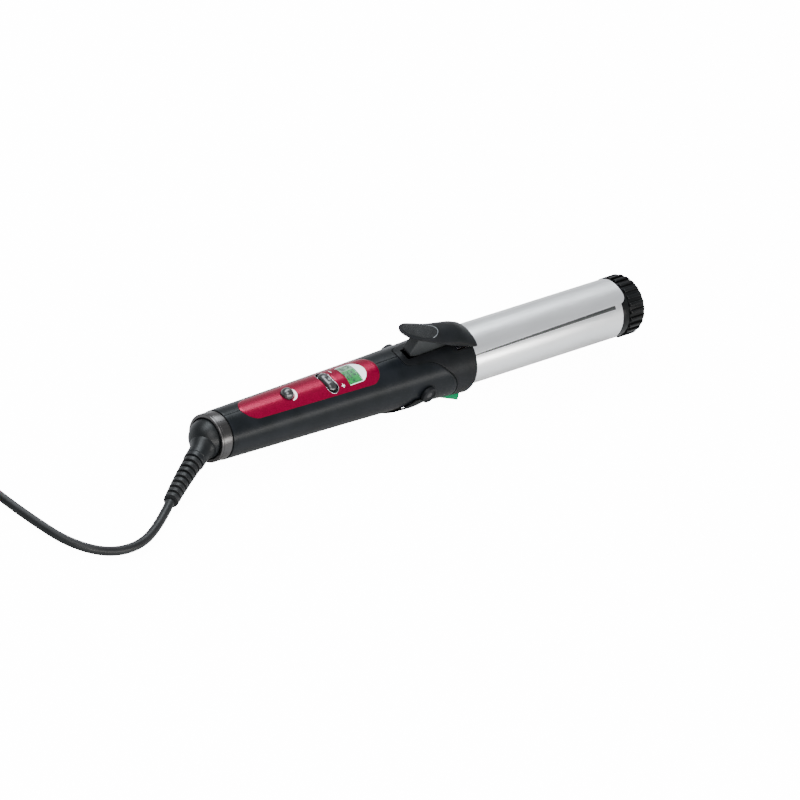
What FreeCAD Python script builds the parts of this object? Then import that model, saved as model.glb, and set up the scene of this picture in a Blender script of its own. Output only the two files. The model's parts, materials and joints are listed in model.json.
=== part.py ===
import FreeCAD, Part
import math
import os

# Curling iron. Millimetres. The pieces are drawn in the iron's own axes: X runs along the
# barrel towards the tip with x = 0 at the front face of the collar, Z comes up through the
# control panel, Y = 0 is the plane that splits the handle. tipped() then leans the iron on
# its rear ring and front foot, and seat_shift() sets the finished model on z = 0.

V = FreeCAD.Vector
X_AXIS = V(1, 0, 0)
Y_AXIS = V(0, 1, 0)
Z_AXIS = V(0, 0, 1)
FAR = 400.0

# clearances
SLIP = 0.05            # a shaft in its bore, radial
MOVE_GAP = 0.3         # between moving curved faces
EASY_GAP = 0.6         # between moving parts that never guide each other

# barrel
BARREL_R = 19.0
BARREL_WALL = 1.2
BARREL_LENGTH = 131.5
BARREL_SUNK = 4.0      # length of barrel inside the collar

# handle skin
HANDLE_LENGTH = 207.0
HANDLE_REAR_R = 16.4
HANDLE_TAPER = 0.0197  # radius gained per mm towards the front
COLLAR_STEP = 3.5      # collar front stands out from the barrel
FLARE_LENGTH = 32.0    # how fast the skin flares out towards the collar
WALL = 2.4
FRONT_ROUND = 2.2
LIP_DEPTH = 3.0        # depth of the collar lip round the barrel
SKIN_STATIONS = 9     # points the skin's side line is drawn through
SEAM_X = -14.0         # collar seam on the sides and below
# collar seam over the top, (x, y) on the +Y side
SEAM_WAVE = [(-57.5, 0.0), (-56.6, 6.3), (-52.5, 8.8), (-45.0, 9.9), (-37.0, 10.9),
             (-31.0, 13.4), (-26.0, 16.6), (-20.0, 19.8), (-16.0, 21.8), (SEAM_X, 24.0)]

# clamp: hinge, lever, plate
HINGE_X = -20.0
HINGE_BELOW = 2.5      # hinge centre below the barrel's top line
PIN_R = 1.5
EYE_R = 4.0
WEB_HALF = 3.75
WEB_GAP = 0.85         # slot beside the web
EAR_GAP = 0.6
EAR_HALF_LENGTH = 5.0
EAR_DEPTH = 7.0
NOTCH_REAR_X = -13.2
NOTCH_HALF = 10.0
TONGUE_HALF = 8.2
TONGUE_REAR_X = -11.5
TONGUE_LOW = 3.0       # below the barrel's top line
TONGUE_HIGH = 5.0
# side view of the web: x, height above the barrel
WEB_OUTLINE = [(-46.5, 17.6), (-44.0, 17.4), (-32.0, 14.6), (-20.0, 13.4), (TONGUE_REAR_X, 9.5),
               (TONGUE_REAR_X, 1.2), (-13.8, -3.2), (-23.0, -6.1), (-50.0, 1.3), (-51.0, 3.7)]
RIVET_X = -5.5
RIVET_Y = 4.5
RIVET_R = 1.2
RIVET_HEIGHT = 4.2
SPRING_WIRE_R = 0.4
SPRING_PITCH = 0.95
SPRING_TURNS = 2.5
SPRING_ARM = 12.0
SPRING_START_Y = 0.75
POCKET_ROOM = 0.8      # round the spring
POCKET_Y = 0.2         # where the pocket starts, beside the centre plane
ARM_SLOT_Y = (0.3, 1.6)
ARM_SLOT_Z = (2.5, 4.0)
PLATE_GAP = 0.3
PLATE_T = 0.9
PLATE_START_X = 0.8
PLATE_PAST_BARREL = 3.5
PLATE_HALF_REAR = 14.8
PLATE_HALF_TIP = 13.5
PLATE_CORNER = 5.0
PLATE_FROM_Z = 5.0     # the plate is cut from a sleeve above this height
PAD_T = 0.9
PAD_HALF = 7.4
PAD_TIP_GAP = 1.5      # from the pad to the lever's tip
PAD_FRONT_X = -30.0
# lever sections: x, then half width, edge and crown height above the barrel, outside and inside
LEVER = [(1.2, (12.2, 1.6, 5.8), (10.4, 1.9, 3.6)),
         (-8.0, (11.7, 4.2, 11.2), (9.5, 4.2, 8.6)),
         (-20.0, (10.8, 7.5, 15.0), (8.4, 7.3, 12.4)),
         (-32.0, (10.0, 12.0, 16.3), (7.6, 10.8, 13.8)),
         (-44.0, (9.2, 17.6, 18.9), (7.0, 16.0, 16.8)),
         (-54.0, (8.6, 21.0, 22.0), (6.4, 19.6, 20.0)),
         (-62.5, (4.4, 23.6, 24.2), (3.0, 22.6, 22.9))]
LEVER_SOLID_X = -11.0  # the lever is solid in front of this

# barrel carrier
CARRIER_NECK_R = 8.6
CARRIER_BORE_R = 5.5
CARRIER_FLANGE_T = 3.0
CARRIER_PLUG = 10.0
CARRIER_REAR_X = -62.0
CARRIER_REAR_R = 16.6
CARRIER_REAR_T = 4.0

# heater
HEATER_START_X = 24.0
HEATER_END_GAP = 18.0
HEATER_HALF_T = 1.5
HEATER_HALF_W = 9.0
HEATER_GAP = 0.1       # heat spreader in the barrel
HEATER_BORE_R = 5.5
HEATER_BORE_Z = 9.5
END_PLUG_T = 5.0
END_PLUG_BACK = 8.0
SENSOR_R = 1.25
SENSOR_START = 20.0    # inside the heat spreader
SENSOR_LENGTH = 12.0
FUSE_R = 2.0
FUSE_LENGTH = 13.0
FUSE_BACK = 16.0       # rear end behind the heater
FUSE_Z = 7.0

# cool tip
TIP_FLANGE = 5.5
TIP_GROOVE = 0.8
TIP_LENGTH = 21.0
TIP_R = 20.0
TIP_CORE_R = 18.9
TIP_ROUND = 4.8
TIP_RIBS = 24
TIP_RIB_W = 2.9
INSERT_R = 10.0
INSERT_T = 2.0
INSERT_ROUND = 0.6
TIP_SCREW_R = 1.5
TIP_HEAD_R = 2.8
TIP_HEAD_T = 2.0
TIP_HEAD_ROOM = 3.0
TIP_PLUG_DEPTH = 6.0   # how far the cap goes into the barrel
TIP_PLUG_WALL = 2.5
TIP_END_T = 8.0
TIP_POST_R = 4.0

# rear ring and swivel
RING_R = 16.0
RING_LENGTH = 9.6
RING_ROUND = 0.5
RING_GAP = 0.35        # round the dome
BALL_R = 13.4
BALL_BACK = 6.5        # ball centre behind the handle
BULKHEAD_T = 5.0
BULKHEAD_R = 13.9
STEM_R = 5.0
STEM_LENGTH = 20.0
CLIP_R = 8.5
CLIP_T = 1.5
SLIP_RING_R = 6.0
SLIP_RING_T = 3.0
SLIP_RING_SPACE = 2.0
SLIP_RING_AHEAD = 4.2  # of the clip
NECK_R = 7.0
NECK_START = 4.0       # behind the ball's centre
NECK_REACH = 26.4      # from the ball's centre to the end of the neck
NECK_WAY = V(-0.868, -0.475, -0.126)
RELIEF_WAY = V(-0.834, -0.551, 0.02)
RELIEF_LENGTH = 44.0
RELIEF_R = 6.4
RELIEF_END_R = 4.9
RELIEF_CORE = 0.74
RELIEF_RIBS = 7
RELIEF_RIB_SHARE = 0.62
RELIEF_SECTIONS = 9

# control panel
PANEL_T = 1.2
PANEL_HALF = 12.0
PANEL_REAR = 14.0      # behind the panel, to the handle's end
PANEL_FRONT_X = -77.0
PANEL_BOW_REAR = 7.0
PANEL_BOW_FRONT = 5.0
PANEL_CORNER = 4.0
BUTTON_X = -153.0
BUTTON_R = 4.4
BUTTON_GAP = 0.25
BUTTON_FLANGE_R = 5.1
BUTTON_FLANGE_T = 1.0
BUTTON_STEM_R = 1.4
BUTTON_TRAVEL = 1.0
ROCKER_X = -118.0
ROCKER_HALF_W = 3.5
ROCKER_LENGTH = 16.5
ROCKER_RISE = 1.9
ROCKER_GAP = 0.35
ROCKER_SWING_GAP = 0.75
ROCKER_PIVOT_Z = 12.2
ROCKER_PIN_R = 1.0
ROCKER_PIN_HALF = 5.3
ROCKER_UNDER = 0.8     # underside of the bar above the pivot
ROCKER_DIP_R = 4.0     # the scoop between the two lobes
ROCKER_DIP_UP = 3.0
ROCKER_POST_X = 2.5
ROCKER_POST_Y = 1.8
ROCKER_POST_LOW = 1.0  # end of the post below the pivot
ROCKER_SINK = 0.5      # how far post and feet run into the bar
ROCKER_FOOT_Y = 6.0
ROCKER_FOOT_R = 1.0
ROCKER_FOOT_LENGTH = 2.2
CRADLE_EARS = (3.9, 5.4)
CRADLE_HALF = 2.6
CRADLE_FLOOR_T = 1.4
CRADLE_TOP = 1.6       # above the pivot
TRIM_W = 0.85
TRIM_RISE = 0.35
SURROUND_REAR_X = -105.5
SURROUND_SIDE_X = -95.0
SURROUND_FRONT_X = -87.0
SURROUND_HALF = 9.6
WINDOW_REAR_X = -104.0
WINDOW_FRONT_X = -93.2
WINDOW_HALF = 8.0
DISPLAY_RISE = 0.12
GLASS_T = 1.1
MODULE_T = 2.2
MODULE_GAP = 0.1
HOLDER_RIM = 0.5

# electronics
BOARD_Z = 6.5
BOARD_T = 1.6
BOARD_HALF = 10.5
BOARD_REAR_X = -192.0
BOARD_FRONT_X = -66.0
SWITCH = 6.0
SWITCH_T = 2.0
WIRE_R = 0.8
WIRE_Z = 1.0
WIRE_FAR_Y = 9.8       # beside the electronics
WIRE_NEAR_Y = 3.0      # through the barrel carrier
TERMINAL_REAR_X = -185.5
TERMINAL_FRONT_X = -174.0
TERMINAL_HALF = 6.0
TERMINAL_Z = (-4.0, 3.0)
ION_BOX_X = (-104.0, -82.0)
ION_BOX_HALF = 8.0
ION_BOX_Z = (-9.0, 4.0)
BLADE_W = 2.0
BLADE_T = 0.5
BLADE_GAP = 0.4        # under the slip rings
BLADE_Y = (-3.0, 1.0)

# screws that join the shells: x and z
SCREWS = [(-176.0, -9.5), (-74.0, -9.5), (-36.0, -13.5)]
SCREW_R = 1.25
SCREW_HEAD_R = 2.5
SCREW_HEAD_T = 2.0
SCREW_BOSS_R = 3.2
SCREW_REACH = 8.0      # into the right shell
RAIL_T = 1.5
RAIL_W = 1.0           # board resting on its rail

# ion nozzle, which is also the front foot
NOZZLE_REAR_X = -28.0
NOZZLE_APEX_X = -4.5
NOZZLE_FRONT_X = -1.6
NOZZLE_HALF_ANGLE = 40.0
NOZZLE_PROUD = 4.0
FOOT_CUT = 0.8
JET_R = 1.5
JET_Z = -22.8
NEEDLE_R = 0.4
NEEDLE_FRONT_X = -8.0
JET_START = 4.0        # jet and needle, ahead of the nozzle's rear end
NOZZLE_LIP = 0.6       # nozzle front, inside the collar's edge and off the barrel

# fold-out stand
STAND_X = -41.0
STAND_GAP = 1.0
STAND_T = 1.8
STAND_HALF_W = 4.2
STAND_EYE_R = 5.8
STAND_PIN_R = 2.0
STAND_REACH = 36.0
STAND_SLANT = 44.0     # degrees below the handle's axis, when folded
EYE_PROUD = 0.2        # pivot boss outside the strap
STAND_PIN_SUNK = 0.6   # pin end below the face of the pivot boss
STAND_PIN_HEAD_R = 3.4
STAND_PIN_HEAD_T = 0.8

# cord: its points are chosen by hand, x and y from the swivel's centre, z above the surface
CORD_R = 3.1
CORD_ROUTE = [(-60.8, -35.4, 7.3), (-84.0, -51.0, 5.0), (-109.0, -60.0, 3.4), (-134.0, -57.0, 3.2),
              (-152.5, -40.0, 3.2), (-161.0, -15.0, 3.2), (-167.0, 8.0, 3.2), (-171.5, 29.0, 3.2)]
COIL_CENTRE = (-209.0, 48.0)
COIL_R = 35.5
COIL_BUNDLE_R = 9.6
TIE_T = 0.6
TIE_W = 9.0
TAIL_LENGTH = 25.0
TAIL_START_Y = 37.0
TAIL_Z = 3.2
GRIP_LENGTH = 22.0
GRIP_R = 5.8
PLUG_WIDTH = 35.3
PLUG_LENGTH = 32.0
PLUG_HEIGHT = 13.7
PLUG_ROUND = 3.5
PLUG_PIN_R = 2.0
PLUG_PIN_LENGTH = 19.0
PLUG_PIN_SPACING = 18.6
TAIL_RISE = 0.6
GRIP_START = 0.5       # grip's small end outside the cord


# ---------------------------------------------------------------- shapes
def box(x0, x1, y0, y1, z0, z1):
    return Part.makeBox(x1 - x0, y1 - y0, z1 - z0, V(x0, y0, z0))


def rod_x(radius, x0, x1, y=0.0, z=0.0):
    return Part.makeCylinder(radius, x1 - x0, V(x0, y, z), X_AXIS)


def rod_y(radius, y0, y1, x, z):
    return Part.makeCylinder(radius, y1 - y0, V(x, y0, z), Y_AXIS)


def rod_z(radius, z0, z1, x, y=0.0):
    return Part.makeCylinder(radius, z1 - z0, V(x, y, z0), Z_AXIS)


def tube_x(inner, outer, x0, x1):
    return rod_x(outer, x0, x1).cut(rod_x(inner, x0 - 1, x1 + 1))


def side_prism(points, y0, y1):
    corners = [V(x, y0, z) for x, z in points]
    face = Part.Face(Part.makePolygon(corners + corners[:1]))
    return face.extrude(V(0, y1 - y0, 0))


def plan_prism(edges, z0, z1):
    wire = Part.Wire(Part.__sortEdges__(edges))
    wire.translate(V(0, 0, z0))
    return Part.Face(wire).extrude(V(0, 0, z1 - z0))


def capsule_prism(x, half_width, length, z0, z1):
    reach = length / 2 - half_width
    ends = [rod_z(half_width, z0, z1, x, side * reach) for side in (-1, 1)]
    middle = box(x - half_width, x + half_width, -reach, reach, z0, z1)
    return middle.multiFuse(ends).removeSplitter()


def lathe_x(points, start=0.0, angle=360.0):
    """Spin (x, radius) points about the X axis, from start degrees past the top."""
    corners = [V(x, 0, r) for x, r in points]
    face = Part.Face(Part.makePolygon(corners + corners[:1]))
    face.rotate(V(0, 0, 0), X_AXIS, start)
    return face.revolve(V(0, 0, 0), X_AXIS, angle)


# ---------------------------------------------------------------- handle skin
def skin_radius(x):
    straight = HANDLE_REAR_R + HANDLE_TAPER * (x + HANDLE_LENGTH)
    front = HANDLE_REAR_R + HANDLE_TAPER * HANDLE_LENGTH
    flare = BARREL_R + COLLAR_STEP - front
    return straight + flare * math.exp(min(x, 0.0) / FLARE_LENGTH)


def skin(inset, x0, x1):
    """The handle's outer form, drawn in by inset, as a solid between x0 and x1."""
    count = SKIN_STATIONS
    stations = [x0 + (x1 - x0) * i / (count - 1) for i in range(count)]
    curve = Part.BSplineCurve()
    curve.interpolate([V(x, 0, skin_radius(x) - inset) for x in stations])
    top0 = curve.StartPoint
    top1 = curve.EndPoint
    edges = [curve.toShape(), Part.makeLine(top1, V(x1, 0, 0)),
             Part.makeLine(V(x1, 0, 0), V(x0, 0, 0)), Part.makeLine(V(x0, 0, 0), top0)]
    return Part.Face(Part.Wire(edges)).revolve(V(0, 0, 0), X_AXIS, 360)


def handle_form():
    form = skin(0.0, -HANDLE_LENGTH, 0.0)
    front = [e for e in form.Edges if e.BoundBox.XMin > -0.01 and e.BoundBox.ZLength > BARREL_R]
    return form.makeFillet(FRONT_ROUND, front)


def cavity():
    return skin(WALL, -HANDLE_LENGTH - 1.0, -LIP_DEPTH)


def housing():
    hollow = handle_form().cut(cavity())
    hollow = hollow.cut(rod_x(BARREL_R + SLIP, -LIP_DEPTH - 1, 1))
    return hollow.cut(nozzle_block())


def collar_region():
    """Everything ahead of the collar's seam."""
    points = [V(x, -y, 0) for x, y in reversed(SEAM_WAVE[1:])] + [V(x, y, 0) for x, y in SEAM_WAVE]
    curve = Part.BSplineCurve()
    curve.interpolate(points)
    side = SEAM_WAVE[-1][1]
    ends = [V(1, side, 0), V(1, -side, 0)]
    edges = [curve.toShape(), Part.makeLine(points[-1], ends[0]), Part.makeLine(ends[0], ends[1]),
             Part.makeLine(ends[1], points[0])]
    above = plan_prism(edges, 0, FAR / 4)
    below = box(SEAM_X, 1, -side, side, -FAR / 4, 0)
    return above.fuse(below)


# ---------------------------------------------------------------- clamp hinge
def hinge_z():
    return BARREL_R - HINGE_BELOW


def ears():
    z1 = skin_radius(HINGE_X) - WALL / 2
    block = box(HINGE_X - EAR_HALF_LENGTH, HINGE_X + EAR_HALF_LENGTH, -FAR / 4, FAR / 4,
                z1 - EAR_DEPTH, z1)
    gap = WEB_HALF + EAR_GAP
    block = block.cut(box(-FAR, FAR, -gap, gap, 0, FAR / 4))
    return block.common(skin(WALL / 2, -HANDLE_LENGTH, 0.0))


def hinge_pin():
    reach = math.sqrt((skin_radius(HINGE_X) - WALL) ** 2 - hinge_z() ** 2) - EAR_GAP
    return rod_y(PIN_R, -reach, reach, HINGE_X, hinge_z())


def collar():
    shell = housing().common(collar_region()).fuse(ears())
    slot = WEB_HALF + WEB_GAP
    rear = WEB_OUTLINE[-1][0] - 2 * EASY_GAP
    shell = shell.cut(box(rear, NOTCH_REAR_X + 1, -slot, slot, CARRIER_NECK_R, FAR / 4))
    shell = shell.cut(box(NOTCH_REAR_X, 2, -NOTCH_HALF, NOTCH_HALF, CARRIER_NECK_R, FAR / 4))
    return shell.cut(hinge_pin()).removeSplitter()


def lever_section(x, half, edge, crown):
    left = V(x, -half, BARREL_R + edge)
    right = V(x, half, BARREL_R + edge)
    top = V(x, 0, BARREL_R + crown)
    return Part.Wire([Part.Arc(left, top, right).toShape(), Part.makeLine(right, left)])


def lever_form():
    return Part.makeLoft([lever_section(x, *outer) for x, outer, inner in LEVER], True, False)


def lever_hollow():
    rest = [row for row in LEVER if row[0] < LEVER_SOLID_X]
    wires = [lever_section(x, *inner) for x, outer, inner in rest]
    return Part.makeLoft(wires, True, False)


def web():
    return side_prism([(x, BARREL_R + z) for x, z in WEB_OUTLINE], -WEB_HALF, WEB_HALF)


def spring_pocket():
    wide = rod_y(EYE_R + POCKET_ROOM, POCKET_Y, WEB_HALF + 1, HINGE_X, hinge_z())
    slot = box(HINGE_X - SPRING_ARM - 3.0, HINGE_X, *ARM_SLOT_Y,
               hinge_z() + ARM_SLOT_Z[0], hinge_z() + ARM_SLOT_Z[1])
    return wide.fuse(slot)


def thumb_pad():
    form = lever_form()
    under = form.copy()
    under.translate(V(0, 0, -PAD_T))
    tip = LEVER[-1][0] + PAD_TIP_GAP
    reach = (PAD_FRONT_X - tip) / 2
    ellipse = Part.Ellipse(V((PAD_FRONT_X + tip) / 2, 0, 0), reach, PAD_HALF)
    return form.cut(under).common(plan_prism([ellipse.toShape()], BARREL_R, FAR / 4))


def clamp_lever():
    skirt = box(TONGUE_REAR_X, PLATE_START_X + PLATE_GAP, -TONGUE_HALF, TONGUE_HALF,
                BARREL_R - TONGUE_LOW, BARREL_R + TONGUE_HIGH)
    skirt = skirt.cut(rod_x(BARREL_R + PLATE_GAP + PLATE_T, -FAR, FAR))
    lever = lever_form().cut(lever_hollow())
    lever = lever.fuse(web()).fuse(rod_y(EYE_R, -WEB_HALF, WEB_HALF, HINGE_X, hinge_z()))
    lever = lever.cut(spring_pocket()).fuse(skirt)
    lever = lever.cut(rod_y(PIN_R + SLIP, -WEB_HALF - 1, WEB_HALF + 1, HINGE_X, hinge_z()))
    return lever.cut(thumb_pad()).cut(clamp_rivets()).removeSplitter()


def plate_sleeve():
    inner = BARREL_R + PLATE_GAP
    return tube_x(inner, inner + PLATE_T, -FAR, FAR)


def clamp_plate():
    end = BARREL_LENGTH + PLATE_PAST_BARREL
    start = PLATE_START_X
    z = PLATE_FROM_Z
    corners = [V(start, -PLATE_HALF_REAR, z), V(end, -PLATE_HALF_TIP, z),
               V(end, PLATE_HALF_TIP, z), V(start, PLATE_HALF_REAR, z)]
    leaf = Part.Face(Part.makePolygon(corners + corners[:1])).extrude(V(0, 0, FAR / 4))
    tips = [e for e in leaf.Edges if e.BoundBox.XMin > end - 0.01 and e.BoundBox.ZLength > 10]
    leaf = leaf.makeFillet(PLATE_CORNER, tips)
    tab = box(TONGUE_REAR_X, start + 1, -TONGUE_HALF, TONGUE_HALF, z, FAR / 4)
    return leaf.fuse(tab).common(plate_sleeve()).cut(clamp_rivets()).removeSplitter()


def clamp_rivets():
    low = BARREL_R + PLATE_GAP
    shanks = [rod_z(RIVET_R, low / 2, low + RIVET_HEIGHT, RIVET_X, side * RIVET_Y) for side in (-1, 1)]
    return Part.makeCompound([shank.cut(rod_x(low, -FAR, FAR)) for shank in shanks])


def lever_spring():
    wire = SPRING_WIRE_R
    helix = Part.makeHelix(SPRING_PITCH, SPRING_PITCH * SPRING_TURNS, EYE_R - 2 * wire)
    helix.rotate(V(0, 0, 0), X_AXIS, -90)
    helix.rotate(V(0, 0, 0), Y_AXIS, -90)
    helix.translate(V(HINGE_X, SPRING_START_Y, hinge_z()))
    ends = [helix.Vertexes[0].Point, helix.Vertexes[-1].Point]
    first = helix.Edges[0]
    tangent = first.tangentAt(first.FirstParameter)
    circle = Part.Wire(Part.makeCircle(wire, ends[0], tangent))
    coil = Part.Wire(helix.Edges).makePipeShell([circle], True, True)
    top, low = sorted(ends, key=lambda p: -p.z)
    arm = Part.makeCylinder(wire, SPRING_ARM, top, V(-1, 0, 0))
    foot_z = math.sqrt(CARRIER_NECK_R ** 2 - low.y ** 2) + 2 * wire
    foot = V(HINGE_X - SPRING_ARM, low.y, foot_z)
    leg = Part.makeCylinder(wire, (foot - low).Length, low, foot - low)
    return coil.fuse(arm).fuse(leg)


# ---------------------------------------------------------------- handle shells
def panel_outline(z0, z1):
    rear = -HANDLE_LENGTH + PANEL_REAR
    half = PANEL_HALF
    r0 = rear + PANEL_BOW_REAR
    f0 = PANEL_FRONT_X - PANEL_BOW_FRONT
    edges = [Part.Arc(V(r0, -half, 0), V(rear, 0, 0), V(r0, half, 0)).toShape(),
             Part.makeLine(V(r0, half, 0), V(f0, half, 0)),
             Part.Arc(V(f0, half, 0), V(PANEL_FRONT_X, 0, 0), V(f0, -half, 0)).toShape(),
             Part.makeLine(V(f0, -half, 0), V(r0, -half, 0))]
    block = plan_prism(edges, z0, z1)
    upright = [e for e in block.Edges if e.BoundBox.ZLength > (z1 - z0) * 0.9]
    return block.makeFillet(PANEL_CORNER, upright)


def surround_outline():
    half = SURROUND_HALF
    rear, side, front = SURROUND_REAR_X, SURROUND_SIDE_X, SURROUND_FRONT_X
    edges = [Part.makeLine(V(rear, -half, 0), V(rear, half, 0)),
             Part.makeLine(V(rear, half, 0), V(side, half, 0)),
             Part.Arc(V(side, half, 0), V(front, 0, 0), V(side, -half, 0)).toShape(),
             Part.makeLine(V(side, -half, 0), V(rear, -half, 0))]
    return plan_prism(edges, BOARD_Z, FAR / 4)


def window_outline():
    return box(WINDOW_REAR_X, WINDOW_FRONT_X, -WINDOW_HALF, WINDOW_HALF, BOARD_Z, FAR / 4)


def rocker_opening():
    return capsule_prism(ROCKER_X, ROCKER_HALF_W + ROCKER_GAP, ROCKER_LENGTH + 2 * ROCKER_SWING_GAP,
                         BOARD_Z, FAR / 4)


def trim_outline():
    grow = ROCKER_GAP + TRIM_W
    return capsule_prism(ROCKER_X, ROCKER_HALF_W + grow,
                         ROCKER_LENGTH + 2 * (ROCKER_SWING_GAP + TRIM_W), BOARD_Z, FAR / 4)


def button_opening():
    return rod_z(BUTTON_R + BUTTON_GAP, BOARD_Z, FAR / 4, BUTTON_X)


def control_panel():
    rear = -HANDLE_LENGTH
    layer = skin(0.0, rear, 0).cut(skin(PANEL_T, rear - 1, 1))
    panel = layer.common(panel_outline(BOARD_Z, FAR / 4))
    panel = panel.cut(surround_outline()).cut(trim_outline()).cut(button_opening())
    return panel.removeSplitter()


def panel_recess():
    return panel_outline(BOARD_Z, FAR / 4).cut(skin(PANEL_T, -HANDLE_LENGTH - 1, 1))


def screw_bosses():
    """Screw bosses and board rails, cut off inside the wall."""
    rods = [rod_y(SCREW_BOSS_R, -FAR / 4, FAR / 4, x, z) for x, z in SCREWS]
    for y0, y1 in ((-FAR / 4, RAIL_W - BOARD_HALF), (BOARD_HALF - RAIL_W, FAR / 4)):
        rods.append(box(BOARD_REAR_X, BOARD_FRONT_X, y0, y1, BOARD_Z - RAIL_T, BOARD_Z))
    inside = skin(WALL / 2, -HANDLE_LENGTH, 0)
    return [rod.common(inside) for rod in rods]


def screw_heads_y(x, z):
    """Where a screw head bottoms, inside the left shell."""
    return math.sqrt((skin_radius(x) - WALL) ** 2 - z ** 2) - SCREW_HEAD_T


def handle_screws():
    screws = []
    for x, z in SCREWS:
        head = screw_heads_y(x, z)
        shank = rod_y(SCREW_R, -SCREW_REACH, head, x, z)
        screws.append(shank.fuse(rod_y(SCREW_HEAD_R, head, head + SCREW_HEAD_T, x, z)))
    return Part.makeCompound(screws)


def screw_holes():
    holes = []
    for x, z in SCREWS:
        head = screw_heads_y(x, z)
        holes.append(rod_y(SCREW_R, -SCREW_REACH, head + 1, x, z))
        holes.append(rod_y(SCREW_HEAD_R, head, FAR / 4, x, z))
    return holes


def both_shells():
    shell = housing().cut(collar_region()).cut(panel_recess())
    shell = shell.cut(surround_outline()).cut(rocker_opening()).cut(button_opening())
    shell = shell.multiFuse(screw_bosses())
    for hole in screw_holes():
        shell = shell.cut(hole)
    return shell.cut(stand_pins())


def handle_shell(whole, side):
    half = box(-FAR, FAR, 0, FAR, -FAR / 2, FAR / 2)
    if side < 0:
        half = box(-FAR, FAR, -FAR, 0, -FAR / 2, FAR / 2)
    return whole.common(half)


# ---------------------------------------------------------------- barrel and heater
def barrel():
    return tube_x(BARREL_R - BARREL_WALL, BARREL_R, -BARREL_SUNK, BARREL_LENGTH)


def barrel_carrier():
    rear = -BARREL_SUNK - CARRIER_FLANGE_T
    body = rod_x(BARREL_R - BARREL_WALL, -BARREL_SUNK, -BARREL_SUNK + CARRIER_PLUG)
    body = body.fuse(rod_x(BARREL_R, rear, -BARREL_SUNK))
    body = body.fuse(rod_x(CARRIER_NECK_R, CARRIER_REAR_X, rear))
    body = body.fuse(rod_x(CARRIER_REAR_R, CARRIER_REAR_X, CARRIER_REAR_X + CARRIER_REAR_T))
    body = body.cut(rod_x(CARRIER_BORE_R, -FAR, FAR))
    return body.removeSplitter()


def heater_end():
    return BARREL_LENGTH - HEATER_END_GAP


def heater_spreader(side):
    r = BARREL_R - BARREL_WALL - HEATER_GAP
    block = rod_x(r, HEATER_START_X, heater_end())
    z0, z1 = (HEATER_HALF_T, r) if side > 0 else (-r, -HEATER_HALF_T)
    block = block.common(box(-FAR, FAR, -r, r, z0, z1))
    hollow = rod_x(HEATER_BORE_R, HEATER_START_X - 1, heater_end() + 1, 0, side * HEATER_BORE_Z)
    return block.cut(hollow)


def ptc_heater():
    return box(HEATER_START_X, heater_end(), -HEATER_HALF_W, HEATER_HALF_W,
               -HEATER_HALF_T, HEATER_HALF_T)


def barrel_end_plug():
    end = BARREL_LENGTH - END_PLUG_BACK
    plug = rod_x(BARREL_R - BARREL_WALL, end - END_PLUG_T, end)
    return plug.cut(rod_x(TIP_SCREW_R, end - END_PLUG_T - 1, end + 1))


def temperature_sensor():
    """Lies on the floor of the upper spreader's bore."""
    x0 = HEATER_START_X + SENSOR_START
    return rod_x(SENSOR_R, x0, x0 + SENSOR_LENGTH, 0, HEATER_BORE_Z - HEATER_BORE_R + SENSOR_R)


def thermal_fuse():
    x0 = HEATER_START_X - FUSE_BACK
    return rod_x(FUSE_R, x0, x0 + FUSE_LENGTH, 0, FUSE_Z)


def lead_wires():
    wires = []
    z = WIRE_Z
    for side in (-1, 1):
        far_y, near_y = side * WIRE_FAR_Y, side * WIRE_NEAR_Y
        corner = BOARD_FRONT_X
        run = rod_x(WIRE_R, TERMINAL_FRONT_X, corner, far_y, z)
        y0, y1 = sorted((far_y, near_y))
        step = rod_y(WIRE_R, y0, y1, corner, z)
        inner = rod_x(WIRE_R, corner, HEATER_START_X, near_y, z)
        knees = [Part.makeSphere(WIRE_R, V(corner, y, z)) for y in (far_y, near_y)]
        wires.append(run.multiFuse([step, inner] + knees))
    return Part.makeCompound(wires)


# ---------------------------------------------------------------- cool tip
def tip_end():
    return BARREL_LENGTH + TIP_LENGTH


def rounded_rod(radius, x0, x1, rounding):
    rod = rod_x(radius, x0, x1)
    rim = [e for e in rod.Edges if e.BoundBox.XMin > x1 - 0.01]
    return rod.makeFillet(rounding, rim)


def tip_ribs(outer, grip):
    slabs = []
    for i in range(TIP_RIBS // 2):
        slab = box(grip, tip_end(), -TIP_RIB_W / 2, TIP_RIB_W / 2, -TIP_R, TIP_R)
        slab.rotate(V(0, 0, 0), X_AXIS, 360.0 / TIP_RIBS * i)
        slabs.append(slab)
    return slabs[0].multiFuse(slabs[1:]).common(outer)


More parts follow.
